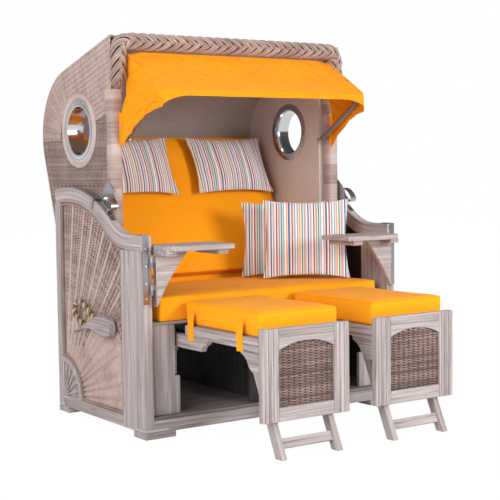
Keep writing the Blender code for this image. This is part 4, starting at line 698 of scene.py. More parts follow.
def footrest_boards(name, side):
    """Framed front with grooved stiles and an arched head, shaped side rails and the deck."""
    form = Form()
    middle = side * FOOT_X
    width = FOOT_HALF - BAY_HALF
    for left in (middle - FOOT_HALF, middle + BAY_HALF):
        plank(form, place(left, PANEL_REAR, PANEL_LOW), UP, RIGHT, -AHEAD, PANEL_HIGH - PANEL_LOW, width,
              PANEL_THICK, [(0.010, 0.003, 0.0018), (width * 0.36, FINE_GROOVE, 0.0026),
                            (width * 0.66, FINE_GROOVE, 0.0026)])

    def cross(low, high, grooves):
        plank(form, place(middle - BAY_HALF, PANEL_REAR, low), RIGHT, UP, -AHEAD, BAY_HALF * 2, high - low,
              PANEL_THICK - 0.0015, grooves)

    cross(PANEL_LOW, BAY_LOW, fine(0.016) + [(0.036, 0.003, 0.0015)])
    head = [(middle + x, z) for x, z in bay_arch()]
    board(form, head + [(middle + BAY_HALF, HEAD_LOW), (middle - BAY_HALF, HEAD_LOW)], 0, PANEL_THICK - 0.0015,
          lambda a, b, c: place(a, PANEL_REAR - c, b))
    cross(HEAD_LOW + 0.0004, PANEL_HIGH, [(0.012, 0.003, GROOVE_DEEP), (0.023, 0.003, GROOVE_DEEP)])
    for edge in (-1, 1):
        board(form, rail_outline(), 0, RAIL_THICK,
              lambda a, b, c: place(middle + edge * FOOT_HALF - edge * c, a, b))
    half = FOOT_HALF - RAIL_THICK
    board(form, box_outline((middle - half, PANEL_REAR), (middle + half, -0.020)), FOOT_RAIL_TOP - 0.012,
          FOOT_RAIL_TOP, place)
    form.made(name + "_footrest_boards", name + "_footrest", GRAIN, "grey_wood", [name + "_footrest_frame"],
              tidy=True)


OGEE_SHARES = ((0, 0), (0.22, 0.10), (0.38, 0.28), (0.50, 0.50), (0.68, 0.68), (0.92, 0.80), (1, 1))
TAIL_SHARES = ((0, 0), (0.15, 0.30), (0.45, 0.42), (0.80, 0.60), (1.0, 1.0))
RAIL_LOW = 0.404
BRACKET_LOW = 0.317
TAIL_LOW = 0.356


def rail_outline():
    """Side rail: bracket behind the front panel, straight rail, tail that runs in the base."""
    drop = RAIL_LOW - TAIL_LOW
    scoop = [(-0.505 + 0.095 * a, BRACKET_LOW + (RAIL_LOW - BRACKET_LOW) * b) for a, b in OGEE_SHARES]
    tail = [(-0.140 - drop + drop * a, RAIL_LOW - drop * b) for a, b in TAIL_SHARES]
    return ([(PANEL_REAR, FOOT_RAIL_TOP), (PANEL_REAR, BRACKET_LOW)] + scoop + tail
            + [(0.160, TAIL_LOW), (0.160, 0.409), (-0.020, 0.409), (-0.020, FOOT_RAIL_TOP)])


# Woven work

WEFT_PITCH = 0.0056
BACK_PITCH = 0.0080
FAN_PITCH = 0.0057
STAKE_PITCH = 0.0195


def six_sided(wide, thick):
    """Section of a flattened strand."""
    return [(a * wide, b * thick) for a, b in
            ((1, 0), (0.55, 0.85), (-0.55, 0.85), (-1, 0), (-0.55, -0.85), (0.55, -0.85))]


WEFT = six_sided(0.0023, 0.0019)
BACK_WEFT = six_sided(0.0034, 0.0024)
REAR_WEFT = six_sided(0.0034, 0.0024 * 0.8)
FOOT_WEFT = six_sided(0.0021, 0.0019)
FINE_WEFT = six_sided(0.0030, 0.0019)


def over_under(row, u):
    """1 where a row passes in front of a stake and -1 where it passes behind; u counts stakes."""
    return cos(pi * u + pi * (row % 2))


def clear_of_ring(y, z):
    """Whether a place on the hood's side lies outside the porthole's ring."""
    return hypot(y - PORTHOLE[0], z - PORTHOLE[1]) > RING_COVER


def slant(y):
    """Height of the line between the open and the close work on the hood's side."""
    return 1.330 - (y - 0.330) * 0.36 if y < 0.640 else 1.2184 - (y - 0.640) * 0.02


def hood_side(name, side):
    """Woven skin of one hood side: open rows below a slanting line, close work above it."""
    form = Form()
    stakes = Form()
    out = RIGHT * side
    profile = hood_line(0.008, 0.350, 0.600)

    def profile_rear(z):
        for a, b in zip(profile[1:], profile[2:]):
            if b[1] <= z <= a[1]:
                return a[0] + (b[0] - a[0]) * (a[1] - z) / max(1e-9, a[1] - b[1])
        return profile[-1][0] if z < profile[-1][1] else 0.0

    def open_side(y, z):
        return y > 0.379 and z < slant(y) and clear_of_ring(y, z) and y < profile_rear(z) - 0.004

    samples = [floor(0.378 / STAKE_PITCH) + i / 4 for i in range(int(0.64 / (STAKE_PITCH / 4)))]
    z = 0.625
    row = 0
    while z < 1.34:
        tone = dice.uniform(0.15, 0.95)
        for run in runs_inside(samples, lambda u: open_side(u * STAKE_PITCH, z)):
            form.sweep([place(side * (SKIN_X + 0.0030 * over_under(row, u)), u * STAKE_PITCH, z) for u in run],
                       out, WEFT, tone)
        z += WEFT_PITCH
        row += 1
    heights = [0.62 + 0.02 * k for k in range(40)]
    for i in range(int(0.60 / STAKE_PITCH)):
        y = (ceil(0.386 / STAKE_PITCH) + i) * STAKE_PITCH
        for run in runs_inside(heights, lambda z: open_side(y, z), 2):
            stakes.sweep([place(side * SKIN_X, y, z) for z in run], out, round_section(0.0032, 6), 0.4)
    close_weave(form, side)
    form.made(name + "_hood_weave", "hood", WICKER, "wicker", [name + "_hood_wicker"])
    stakes.made(name + "_hood_stakes", "hood", STAKE, "wicker")
    porthole_ring(name, side)


CLOSE_PITCH = 0.0058
CLOSE_STAKE = 0.0225


def close_weave(form, side):
    """Close work that follows the roof and the crown, its wefts square to the edge."""
    def inside(y, z):
        if y < (0.330 if z > 1.400 else 0.378) or y > 0.93 and z < 1.20:
            return False
        return z >= slant(y) - 0.004 and clear_of_ring(y, z)

    for row, (spot, normal, _) in enumerate(along_line(hood_line(0.010, 0.324, 0.600), CLOSE_PITCH)):
        tone = dice.uniform(0.55, 0.95)
        limit = 17.0 if spot.x < 0.80 else 8.0

        def at(u):
            return spot.x - normal.x * u * CLOSE_STAKE, spot.y - normal.y * u * CLOSE_STAKE

        samples = [-0.2 + k * 0.3 for k in range(64)]
        for stretch in runs_inside(samples, lambda u: inside(*at(u)) and u < limit):
            form.sweep([place(side * (SKIN_X + 0.0014 * over_under(row, u) + 0.0012), *at(u)) for u in stretch],
                       RIGHT * side, FINE_WEFT, tone)


PORTHOLE_BORE = 0.105
PORTHOLE_INNER = 0.5294


def porthole_ring(name, side):
    """Wound wicker ring, steel flange, bore and its screws."""
    form = Form()
    centre = place(side * (HOOD_HALF + 0.001), *PORTHOLE)
    middle = (RING_INNER + RING_OUTER) / 2 + 0.001
    half = (RING_OUTER - RING_INNER) / 2
    rings = []
    for i, a in enumerate(turns(640)):
        radial = Vector((0, cos(a), -side * sin(a)))
        swell = 1.0 + 0.10 * abs(sin(pi * i / 4))
        rings.append([centre + radial * (middle + half * swell * cos(b)) + RIGHT * side
                      * (0.0065 * swell * sin(b)) for b in turns(10)])
    form.tube(rings, 0.6, loop=True)
    form.made(name + "_porthole_wicker_ring", "hood", WINDING, "wicker", tidy=True)
    steel = Form()
    outer = HOOD_HALF + 0.0003
    inner = PORTHOLE_INNER
    bore = PORTHOLE_BORE
    profile = [(outer + 0.0048, bore + 0.002), (outer + 0.0052, bore + 0.006), (outer + 0.0048, 0.114),
               (outer + 0.0036, 0.117), (outer + 0.0040, 0.128), (outer + 0.0030, 0.1360),
               (outer + 0.0004, 0.1390), (outer, 0.138), (outer, bore + 0.003), (inner, bore + 0.003),
               (inner, 0.135), (inner - 0.0012, 0.136), (inner - 0.0036, 0.132), (inner - 0.0042, 0.112),
               (inner - 0.0036, bore + 0.001), (inner - 0.0020, bore), ((inner + outer) / 2, bore - 0.0005),
               (outer + 0.0030, bore)]

    def at(x, r, a):
        return place(side * x, PORTHOLE[0] + r * cos(a), PORTHOLE[1] + r * sin(a))

    steel.tube([[at(x, r, a) for x, r in profile] for a in turns(96)], loop=True)
    for k in range(8):
        a = 2 * pi * (k + 0.5) / 8
        screw(steel, at(outer + 0.0036, 0.1275, a), RIGHT * side, 0.0042)
        screw(steel, at(inner - 0.0038, 0.124, a), RIGHT * -side, 0.0042)
    steel.made(name + "_porthole_steel", "hood", STEEL, "steel", [name + "_porthole"], tidy=True)


SCREW_PROFILE = ((-0.001, 1.0), (0.0, 1.0), (0.0007, 0.94), (0.0014, 0.70), (0.0016, 0.45), (0.0009, 0.35),
                 (0.0007, 0.05))


def screw(form, spot, out, radius):
    """A domed screw head with a hollow in it."""
    side = out.orthogonal().normalized()
    up = out.cross(side)
    form.tube([[spot + out * rise + side * (radius * share * cos(a)) + up * (radius * share * sin(a))
                for a in turns(10)] for rise, share in SCREW_PROFILE])


def hood_back():
    """Woven roof, crown and back: rows across the hood over stakes that follow its profile."""
    form = Form()
    stakes = Form()
    half = HOOD_HALF - 0.006
    count = int(2 * half / 0.024 * 4)
    profile = hood_line(SKIN_SETBACK, 0.330, 0.446)
    for row, (spot, normal, _) in enumerate(along_line(profile, BACK_PITCH)):
        tone = dice.uniform(0.15, 0.95)
        out = Vector((0, normal.x, normal.y))
        form.sweep([place(-half + 2 * half * i / count, spot.x, spot.y) + out * (0.0022 * over_under(row, i / 4))
                    for i in range(count + 1)], out, BACK_WEFT, tone)
    coarse = along_line(profile, 0.03)
    for i in range(int(count / 4) + 1):
        stakes.sweep([place(-half + 2 * half * i * 4 / count, spot.x, spot.y) for spot, normal, _ in coarse],
                     [Vector((0, normal.x, normal.y)) for spot, normal, _ in coarse],
                     round_section(0.0032, 6), 0.4)
    form.made("hood_back_weave", "hood", WICKER, "wicker", ["hood_back_wicker"])
    stakes.made("hood_back_stakes", "hood", STAKE, "wicker")
    edges = Form()
    for side in SIDES.values():
        path = [place(side * (HOOD_HALF - 0.003), spot.x, spot.y)
                for spot, normal, _ in along_line(hood_line(0.003, 0.330, 0.446), 0.004)]
        twisted(edges, path, 0.0058, 2, 0.013, RIGHT * side)
    path = [place(-half + 2 * half * i / 60, hood_line(0.006, 0.362, 0.446)[-1][0], 0.447)
            for i in range(61)]
    twisted(edges, path, 0.0075, 2, 0.022, Vector((0, cos(BACK_LEAN), -sin(BACK_LEAN))))
    edges.made("hood_edge_cords", "hood", WICKER, "wicker", tidy=True)


STILE_FRONT = 0.330
STILE_DEPTH = 0.060
STILE_WIDTH = 0.057
STILE_OUTER = 0.602
STILE_LOW = 0.620
STILE_ROUND = 0.020
BRAID_LOW = 1.400
WINDING_PITCH = 0.0052
CUFF_LOW = 1.318
CUFF_GROWTH = 1.13


def stile(name, side):
    """Front upright wound with fine strands in bands of unlike tone."""
    form = Form()
    corners = []
    for cx, cy, start in ((1, 1, 0), (-1, 1, pi / 2), (-1, -1, pi), (1, -1, 3 * pi / 2)):
        for k in range(5):
            a = start + pi / 2 * k / 4
            corners.append((cx * (STILE_WIDTH / 2 - STILE_ROUND) + STILE_ROUND * cos(a),
                            cy * (STILE_DEPTH / 2 - STILE_ROUND) + STILE_ROUND * sin(a)))
    for turn in range(int((BRAID_LOW - STILE_LOW) / WINDING_PITCH) + 2):
        if turn % 9 == 0:
            tone = dice.uniform(0.1, 0.9)
        base = STILE_LOW + turn * WINDING_PITCH
        cuff = CUFF_GROWTH if base > CUFF_LOW else 1.0
        rings = []
        for rise, draw in ((0.0, 0.0016), (0.25, 0.0004), (0.5, 0.0), (0.75, 0.0004), (1.0, 0.0016)):
            rings.append([place(side * (STILE_OUTER - STILE_WIDTH / 2) + a * (cuff - draw / 0.028),
                                STILE_FRONT + STILE_DEPTH / 2 + b * (cuff - draw / 0.030),
                                base + rise * (WINDING_PITCH - 0.0002)) for a, b in corners])
        form.tube(rings, min(1.0, max(0.0, tone + dice.uniform(-0.12, 0.12))))
    form.made(name + "_stile_winding", "hood", WINDING, "wicker", [name + "_stile"])


BRAID_RADIUS = 0.038
BRAID_Y = 0.321
BRAID_X = STILE_OUTER + 0.006 - BRAID_RADIUS
BRAID_Z = 1.607
BRAID_CORNER = 0.046
BRAID_PITCH = 0.047
BRAID_STRAND = 0.0045
BRAID_LANE = 0.0122
BRAID_CORE = 0.024
BRAID_STEP = 0.108
BRAID_TAPER = 0.060
BRAID_SINK = 0.034


def braid_route(step):
    """Middle line of the braid at even steps, with its outward normal."""
    corner = BRAID_CORNER
    left = [(-BRAID_X + corner + corner * cos(a), BRAID_Z - corner + corner * sin(a))
            for a in [pi - i * pi / 24 for i in range(13)]]
    upright = [(-BRAID_X, BRAID_LOW + 0.002)] + left
    return along_line(upright + [(-x, z) for x, z in upright[::-1]], step)


def braid():
    """Thick plait: bundles of three strands cross over each other in a herringbone."""
    form = Form()
    line = braid_route(0.004)
    total = line[-1][2]

    def taper(run):
        share = min(1.0, max(0.0, run / BRAID_TAPER), max(0.0, (total - run) / BRAID_TAPER))
        return share * share * (3 - 2 * share)

    def round_about(spot, normal, run, reach, angle):
        """A point about the braid's middle, and its direction from there."""
        radial = Vector((normal.x * sin(angle), -cos(angle), normal.y * sin(angle)))
        return place(spot.x, BRAID_Y + BRAID_SINK * (1 - taper(run)), spot.y) + radial * reach, radial

    def at(run):
        share = min(max(run / total, 0.0), 1.0) * (len(line) - 1)
        i = min(int(share), len(line) - 2)
        (a, na, _), (b, nb, _) = line[i], line[i + 1]
        return a.lerp(b, share - i), na.lerp(nb, share - i).normalized()

    def strand_at(run, t, way, lane):
        dive = 0.80 - 0.07 * lane
        lift = (BRAID_RADIUS - BRAID_STRAND - 0.0150 * (max(0.0, t - dive) / (1 - dive)) ** 1.4
                - 0.0060 * max(0.0, 0.22 - t) / 0.22 - 0.0030 * lane ** 2)
        return round_about(*at(run), run, lift * (0.45 + 0.55 * taper(run)), way * (2.75 - 3.12 * t))

    for k in range(-2, int(total / BRAID_PITCH) + 2):
        for way in (-1, 1):
            start = (k - 1 + (0.5 if way > 0 else 0.0)) * BRAID_PITCH
            for lane in (-1, 0, 1):
                tone = dice.uniform(0.25, 0.80)
                places = [(start + lane * BRAID_LANE + i / 18 * BRAID_STEP, i / 18) for i in range(19)]
                spots = [strand_at(run, t, way, lane) for run, t in places if 0.002 <= run <= total - 0.002]
                if len(spots) > 3:
                    form.sweep([spot for spot, out in spots], [out for spot, out in spots],
                               round_section(BRAID_STRAND, 8, 0.85), tone)
    form.made("braid_strands", "hood", WICKER, "wicker", ["braid"])
    # painted shade: a near-black core shows between the braid's bundles
    core = Form()
    core.tube([[round_about(spot, normal, run, BRAID_CORE * (0.4 + 0.6 * taper(run)), b)[0] for b in turns(16)]
               for spot, normal, run in line[::3] + line[-1:]], 0.3)
    core.made("braid_core", "hood", SHADOW_WICKER, "wicker", tidy=True)


def side_opening(clearance):
    """Opening of the side frame without the carved corner."""
    front = FRONT_POST + clearance
    start = asin(clearance / (SUN_RADIUS + clearance))
    rim = arc(SUN_CORNER, SUN_RADIUS + clearance, pi - start, pi / 2 + start)
    top = arm_line(ARM_WIDTH + clearance, front, CASE_DEPTH - REAR_POST - clearance)
    return [(front, RAIL_TOP + clearance)] + rim + top[::-1]


def in_outline(outline):
    """A test for places inside a closed outline."""
    pairs = list(zip(outline, outline[1:] + outline[:1]))

    def test(y, z):
        crossings = [(az > z) != (bz > z) and y < (by - ay) * (z - az) / (bz - az) + ay
                     for (ay, az), (by, bz) in pairs]
        return sum(crossings) % 2 == 1

    return test


RAY_DEGREES = (90.0, 97.2, 104.6, 110.0, 117.6, 122.8, 130.2, 136.4, 142.0, 149.5, 154.5, 162.5, 168.0,
               174.5, 180.0)
OPEN_RAYS = 6
RAY_STAKE = 0.0175
FAN_X = HALF_WIDTH - SIDE_THICK / 2 + 0.004


def fan_place(rho, angle):
    """A place in the side frame's opening, as seen from the carved sun."""
    return SUN_CORNER[0] + rho * cos(angle), SUN_CORNER[1] + rho * sin(angle)


def fan(name, side):
    """Woven fan whose rays spread out of the carved sun: open weave behind, closed ribs in front."""
    form = Form()
    ridges = Form()
    inside = in_outline(side_opening(0.004))
    out = RIGHT * side

    def stick(angle, x, radius):
        for run in runs_inside([SUN_RADIUS + 0.004 + 0.012 * k for k in range(66)],
                               lambda rho: inside(*fan_place(rho, angle)), 2):
            ridges.sweep([place(side * x, *fan_place(rho, angle)) for rho in run], out,
                         round_section(radius, 6, 0.8), 0.55)

    for ray, (start, end) in enumerate(zip(RAY_DEGREES, RAY_DEGREES[1:])):
        a0, spread = radians(start), radians(end) - radians(start)
        rho = SUN_RADIUS + 0.003
        row = 0
        while rho < 0.95:
            open_row = ray < OPEN_RAYS and rho > 0.20 + 0.020 * ray or ray < 9 and rho > 0.24 + 0.060 * (ray - 2)
            wave, bulge, section = (0.0029, 0.0015, WEFT) if open_row else (0.0006, 0.0095, FINE_WEFT)
            tone = dice.uniform(0.2, 0.95) if open_row else dice.uniform(0.55, 0.85)
            steps = max(2, round(spread * rho / RAY_STAKE)) * 4

            def at(i):
                return fan_place(rho, a0 + spread * i / steps)

            for run in runs_inside(range(steps + 1), lambda i: inside(*at(i))):
                form.sweep([place(side * (FAN_X + wave * over_under(row, i / 4)
                                          + bulge * (sin(pi * i / steps) - 0.4)), *at(i)) for i in run],
                           out, section, tone)
            rho += FAN_PITCH
            row += 1
        stakes = max(2, round(spread * 0.5 / RAY_STAKE))
        for k in range(1, stakes):
            stick(a0 + spread * k / stakes, FAN_X, 0.0030)
        if 0 < ray < 8:
            stick(a0, FAN_X + 0.001, 0.0058)
    form.made(name + "_fan_weave", "base", WICKER, "wicker", [name + "_side_wicker"])
    ridges.made(name + "_fan_stakes", "base", WINDING, "wicker")
    # painted shade: a near-black sheet behind the fan shows through its open weave
    shade_sheet = Form()
    board(shade_sheet, side_opening(0.002), SIDE_INNER + 0.0125, SIDE_INNER + 0.0140,
          lambda a, b, c: place(side * c, a, b), ease=0.0003)
    shade_sheet.made(name + "_fan_backing", "base", PAINTED_SHADE_SHEET, "wicker", tidy=True)
    plait = Form()
    line = side_opening(0.0075)
    twisted(plait, [place(side * SUN_FACE, spot.x, spot.y)
                    for spot, normal, _ in along_line(line + line[:1], 0.0035)], 0.0075, 2, 0.020, out)
    plait.made(name + "_fan_plait", "base", WICKER, "wicker")


def footrest_weave(name, side):
    """Woven panel of a footrest front."""
    form = Form()
    stakes = Form()
    middle = side * FOOT_X
    y = FOOT_FRONT + PANEL_THICK / 2 - 0.002
    half = BAY_HALF - 0.001
    count = 10
    pitch = 2 * half / count
    arch = bay_arch()

    def top(x):
        for (ax, az), (bx, bz) in zip(arch, arch[1:]):
            if ax <= x <= bx:
                return az + (bz - az) * (x - ax) / (bx - ax)
        return arch[0][1]

    z = BAY_LOW + 0.004
    row = 0
    while z < BAY_CROWN:
        tone = dice.uniform(0.1, 0.9)
        for run in runs_inside(range(count * 4 + 1), lambda i: z < top(-half + pitch * i / 4) - 0.003):
            form.sweep([place(middle - half + pitch * i / 4, y - 0.0031 * over_under(row, i / 4), z)
                        for i in run], -AHEAD, FOOT_WEFT, tone)
        z += 0.0051
        row += 1
    for k in range(count + 1):
        x = min(max(-half + pitch * k, -half + 0.004), half - 0.004)
        stakes.sweep([place(middle + x, y, BAY_LOW + 0.002), place(middle + x, y, top(x) - 0.002)], -AHEAD,
                     round_section(0.0036, 6))
    # painted shade: a near-black sheet behind the footrest's weave shows through its gaps
    shade_sheet = Form()
    sheet = [(-half, BAY_LOW + 0.001), (half, BAY_LOW + 0.001)] + [
        (x * half / BAY_HALF, z - 0.002) for x, z in arch[::-1]]
    board(shade_sheet, sheet, 0, 0.0010, lambda a, b, c: place(middle + a, y + 0.0085 + c, b), ease=0.0002)
    body = name + "_footrest"
    shade_sheet.made(body + "_backing", body, PAINTED_SHADE_SHEET, "wicker", tidy=True)
    form.made(body + "_weave", body, FOOT_WICKER, "wicker", [name + "_footrest_wicker"])
    # painted shade: near-black stakes darken the weave between its rows
    stakes.made(body + "_stakes", body, SHADOW_WICKER, "wicker")


def rear_weave():
    """Woven panel in the rear frame of the base."""
    form = Form()
    half = 0.560
    count = 200
    z = RAIL_TOP + 0.002
    row = 0
    while z < 0.293:
        tone = dice.uniform(0.1, 0.9)
        form.sweep([place(-half + 2 * half * i / count, CASE_DEPTH - 0.020 + 0.0014 * over_under(row, i / 4), z)
                    for i in range(count + 1)], AHEAD, REAR_WEFT, tone)
        z += BACK_PITCH
        row += 1
    # black webbing, darkened further by painted shade of the base's inside
    form.made("rear_weave", "base", SHADOW_WICKER, "wicker", ["rear_wicker"])


HANDLE_END = 0.232
HANDLE_LENGTH = 0.328
HANDLE_BASE = 0.376
HANDLE_RISE = 0.097
HANDLE_THICK = 0.034
HANDLE_NOSE = 0.0437
HANDLE_X = HALF_WIDTH + SMALL_GAP
HOLLOW_SHARES = ((0.12, 0.13), (0.24, 0.10), (0.42, 0.25), (0.60, 0.33), (0.79, 0.24), (1, 0))
RISE_SHARES = ((0.97, 0.10), (0.75, 0.42), (0.53, 0.72), (0.38, 0.92), (0.26, 0.99))
SPACER_SHARES = ((0.14, 0.34), (0.40, 0.80))
ROPE_SHARES = ((0.771, 0.366), (0.832, 0.495), (0.954, 0.64), (1.024, 0.825), (1.037, 1.093),
               (0.979, 1.33), (0.884, 1.42), (0.762, 1.31), (0.625, 1.05), (0.512, 0.763), (0.424, 0.505))


def handle_spots(shares):
    """Places on a side, from shares of the handle board's length and rise."""
    return [Vector((HANDLE_END + HANDLE_LENGTH * a, HANDLE_BASE + HANDLE_RISE * b, 0)) for a, b in shares]


def handle_board(name, side):
    """Boat-shaped board of the handle on its spacer."""
    form = Form()

    def lay(a, b, c):
        return place(side * c, a, b)

    nose = arc((HANDLE_END + HANDLE_NOSE, HANDLE_BASE + HANDLE_RISE - HANDLE_NOSE - 0.0049), HANDLE_NOSE,
               radians(107.2), radians(231.6), radians(8.0))
    below = smooth_route([Vector((*nose[-1], 0))] + handle_spots(HOLLOW_SHARES), 5)
    above = smooth_route(handle_spots(RISE_SHARES) + [Vector((*nose[0], 0))], 5)
    board(form, [(p.x, p.y) for p in below[1:] + above[:-1]] + nose, HANDLE_X, HANDLE_X + HANDLE_THICK, lay,
          ease=0.0035)
    board(form, box_outline(*handle_spots(SPACER_SHARES)), HALF_WIDTH - 0.0095, HANDLE_X + 0.004, lay)
    form.made(name + "_handle_shape", "base", GRAIN, "grey_wood", [name + "_handle_board"], tidy=True)


def rope_handle(name, side):
    """Laid rope through the handle board."""
    route = [place(side * (HANDLE_X + HANDLE_THICK / 2), spot.x, spot.y) for spot in handle_spots(ROPE_SHARES)]
    form = Form()
    twisted(form, smooth_route(route, 14), 0.0132, 3, 0.042, RIGHT * side, 8, (0.05, 0.45, 0.95))
    form.made(name + "_rope", "base", ROPE, "rope", [name + "_rope_handle"])


# Awning

BOW_Y = 0.062
BOW_Z = 1.383
BOW_WIDE = 0.517
BOW_THICK = 0.022
BOW_CORNER = 0.045
BOW_PIVOT = (0.360, 1.200)
FABRIC = 0.0025
AWNING_FOLD = 0.85
AWNING_TOP_Y = 0.318
AWNING_VALANCE = 0.026
AWNING_SKIRT = 0.058
AWNING_TAIL_Z = 1.165
FLAP_FLARE = 0.024
FLARE_RUN = 0.110
CORNER_RUN = 0.135
CORNER_DROP = 0.0625
CORNER_ROUND = 0.040
HEM_WIDE = 3
HEM_LIFT = 0.0009
CREASE_SHARE = 0.13
CREASE_RISE = 0.0030
CREASE_DEPTH = 0.0175


def awning_point(around, back):
    """A point of the awning: around runs from hem to hem (-2 to 2), back from rear to front."""
    half = BOW_WIDE + BOW_THICK / 2 + SMALL_GAP * 2
    lift = BOW_THICK / 2 + FABRIC
    top_z = BRAID_Z - BRAID_RADIUS - FABRIC - SMALL_GAP * 2
    side = 1 if around > 0 else -1
    leg = abs(around)
    near_corner = max(0.0, 1 - (1 - min(leg, 1)) * half / CORNER_RUN)
    drop = AWNING_VALANCE + (CORNER_DROP - AWNING_VALANCE) * near_corner ** 2.2
    if back < AWNING_FOLD:
        share = back / AWNING_FOLD
        top_y = AWNING_TOP_Y + (BOW_Y - lift - AWNING_TOP_Y) * share
        top_height = top_z + (BOW_Z + lift - top_z) * share
    else:
        share = (back - AWNING_FOLD) / (1 - AWNING_FOLD)
        top_y = BOW_Y - lift - BOW_THICK / 2 * share
        top_height = BOW_Z + lift - drop * share
    hem_y = STILE_FRONT - 0.0024 + (BOW_Y - BOW_THICK * 1.2 - STILE_FRONT) * back
    hem_z = AWNING_TAIL_Z + (BOW_Z - AWNING_SKIRT - AWNING_TAIL_Z) * back + 0.038 * sin(pi * back)
    if leg <= 1:
        sag = 0.012 * sin(pi * min(back / AWNING_FOLD, 1)) * cos(leg * pi / 2)
        round_off = 0.012 * (1 - min(back / AWNING_FOLD, 1)) * max(0.0, leg * 8 - 7)
        return Vector((side * (leg * half - round_off), top_y, top_height - sag - round_off))
    down = leg - 1
    z = top_height + (hem_z - top_height) * down
    below = min(1.0, max(0.0, (BRAID_LOW + 0.010 - z) / FLARE_RUN))
    flare = FLAP_FLARE * below ** 2 * (3 - 2 * below) * (1 - back) ** 1.5
    return Vector((side * (half + flare), top_y + (hem_y - top_y) * down, z))


def awning_fold(around, back):
    """How far the canvas lies off its tight shape."""
    soft = noise.noise(Vector((around * 2.1, back * 1.3, 4.0))) * 0.0090
    slant = around * 5.5 - back * 3.4
    crease = max(0.0, 1 - abs(noise.noise(Vector((slant, back * 0.8, 9.0)))) / CREASE_SHARE)
    pulls = CREASE_RISE - CREASE_DEPTH * crease ** 1.4
    fine = (0.4 - abs(noise.noise(Vector((around * 11.0 - back * 5.0, back * 1.6, 5.0))))) * 0.0085 - 0.0026
    cross = noise.noise(Vector((around * 1.5, back * 9.0, 2.0))) * 0.0022
    return soft + pulls + fine + cross


def rounded_corner(spot):
    """Draws the front corners of the canvas in to a round."""
    half = BOW_WIDE + BOW_THICK / 2 + SMALL_GAP * 2
    front = BOW_Y - BOW_THICK - FABRIC
    centre = Vector((half - CORNER_ROUND, front + CORNER_ROUND))
    away = Vector((abs(spot.x), spot.y)) - centre
    if away.x > 0 and away.y < 0 and away.length > CORNER_ROUND:
        away = away.normalized() * CORNER_ROUND
        spot.x = (1 if spot.x > 0 else -1) * (centre.x + away.x)
        spot.y = centre.y + away.y
    return spot


def awning():
    """Canvas over the bow: tight along the braid, soft folds toward the bow and the hems."""
    across = 280
    backs = 90
    rows = []
    for j in range(backs + 1):
        back = j / backs
        row = []
        for i in range(across + 1):
            around = -2 + 4 * i / across
            spot = rounded_corner(awning_point(around, back))
            leg = abs(around)
            hold = sin(pi * min(back / AWNING_FOLD, 1.0)) ** 0.7 if leg <= 1 else 0.35 + 0.65 * sin(pi * back)
            fold = awning_fold(around, back) * hold
            if leg > 1:
                spot.x += (1 if around > 0 else -1) * max(0.0, 0.0012 + (fold + 0.0020) * min(1.0, (leg - 1) * 4))
            elif back < AWNING_FOLD:
                spot.z += min(0.0, fold - 0.0070 * hold - 0.0010)
            else:
                hang = (back - AWNING_FOLD) / (1 - AWNING_FOLD)
                spot.y -= hang * max(0.0, 0.0030 + 0.0050 * noise.noise(Vector((around * 7, 0, 3))))
            row.append(place(*spot))
        rows.append(row)
    cloth = sheet_object("awning_canvas", rows)
    columns = list(zip(*rows))
    edges = (rows[-1 - HEM_WIDE::HEM_WIDE], columns[:HEM_WIDE + 1:HEM_WIDE], columns[-1 - HEM_WIDE::HEM_WIDE])
    strips = [sheet_object(f"awning_hem_{n}", strip) for n, strip in enumerate(edges)]
    for strip in strips:
        for vert in strip.data.vertices:
            vert.co += vert.normal * HEM_LIFT
    longest = max(length_of(row) for row in rows)
    deepest = max(length_of(column) for column in columns)
    area = sum(face.area for face in cloth.data.polygons)
    return cloth, strips, (longest, deepest), area


def length_of(points):
    """Length of a row of points."""
    return sum((b - a).length for a, b in zip(points, points[1:]))


def sheet_object(name, rows):
    """A smooth canvas sheet from rows of points, its face upward or outward."""
    wide = len(rows[0])
    faces = [(a, a + 1, a + wide + 1, a + wide)
             for j in range(len(rows) - 1) for a in range(j * wide, (j + 1) * wide - 1)]
    mesh = mesh_of(name, [spot for row in rows for spot in row], faces, SHADED_AWNING)
    middle = place(0, 0.35, 1.25)
    if sum((face.center - middle).dot(face.normal) * face.area for face in mesh.polygons) < 0:
        mesh.flip_normals()
    mesh.shade_smooth()
    return shown(name, mesh)


BOW_CAP = ((-0.020, 0.0105), (0.004, 0.0105), (0.0052, 0.0095), (0.0056, 0.004))


def bow():
    """Bow bar of the awning with its pivot fittings."""
    start = Vector((-BOW_WIDE, *BOW_PIVOT))
    front = Vector((-BOW_WIDE, BOW_Y, BOW_Z))
    ahead = (front - start).normalized()
    turn = front - ahead * BOW_CORNER
    path = [start + ahead * ((front - start).length * i / 8) for i in range(7)]
    path += [turn + ahead * (BOW_CORNER * sin(a)) + RIGHT * (BOW_CORNER * (1 - cos(a)))
             for a in [pi / 2 * i / 8 for i in range(9)]]
    mirrored = [Vector((-spot.x, spot.y, spot.z)) for spot in path[::-1]]
    bar = Form()
    bar.sweep([place(*spot) for spot in path + mirrored], Vector((0, ahead.z, -ahead.y)),
              round_section(BOW_THICK / 2, 14))
    bar.made("awning_bow_bar", "awning", BOW_STEEL, "bow_steel", ["awning_bow"], tidy=True)
    caps = Form()
    for side in SIDES.values():
        spot = place(side * (BOW_WIDE + 0.004), *BOW_PIVOT)
        caps.tube([[spot + RIGHT * (side * rise) + AHEAD * (radius * cos(a)) + UP * (radius * sin(a))
                    for a in turns(20)] for rise, radius in BOW_CAP])
    caps.made("awning_bow_fittings", "awning", SATIN_STEEL, "bow_steel", tidy=True)


# Soft pieces

PUFF_FRAMES = 20
PUFF_PRESSURE = 4.0
CLOTH_MASS = 0.25
CLOTH_QUALITY = 6
CLOTH_STIFFNESS = 12.0
CLOTH_BENDING = 0.4
CELL_CORNERS = ((0, 0), (1, 0), (1, 1), (0, 1))


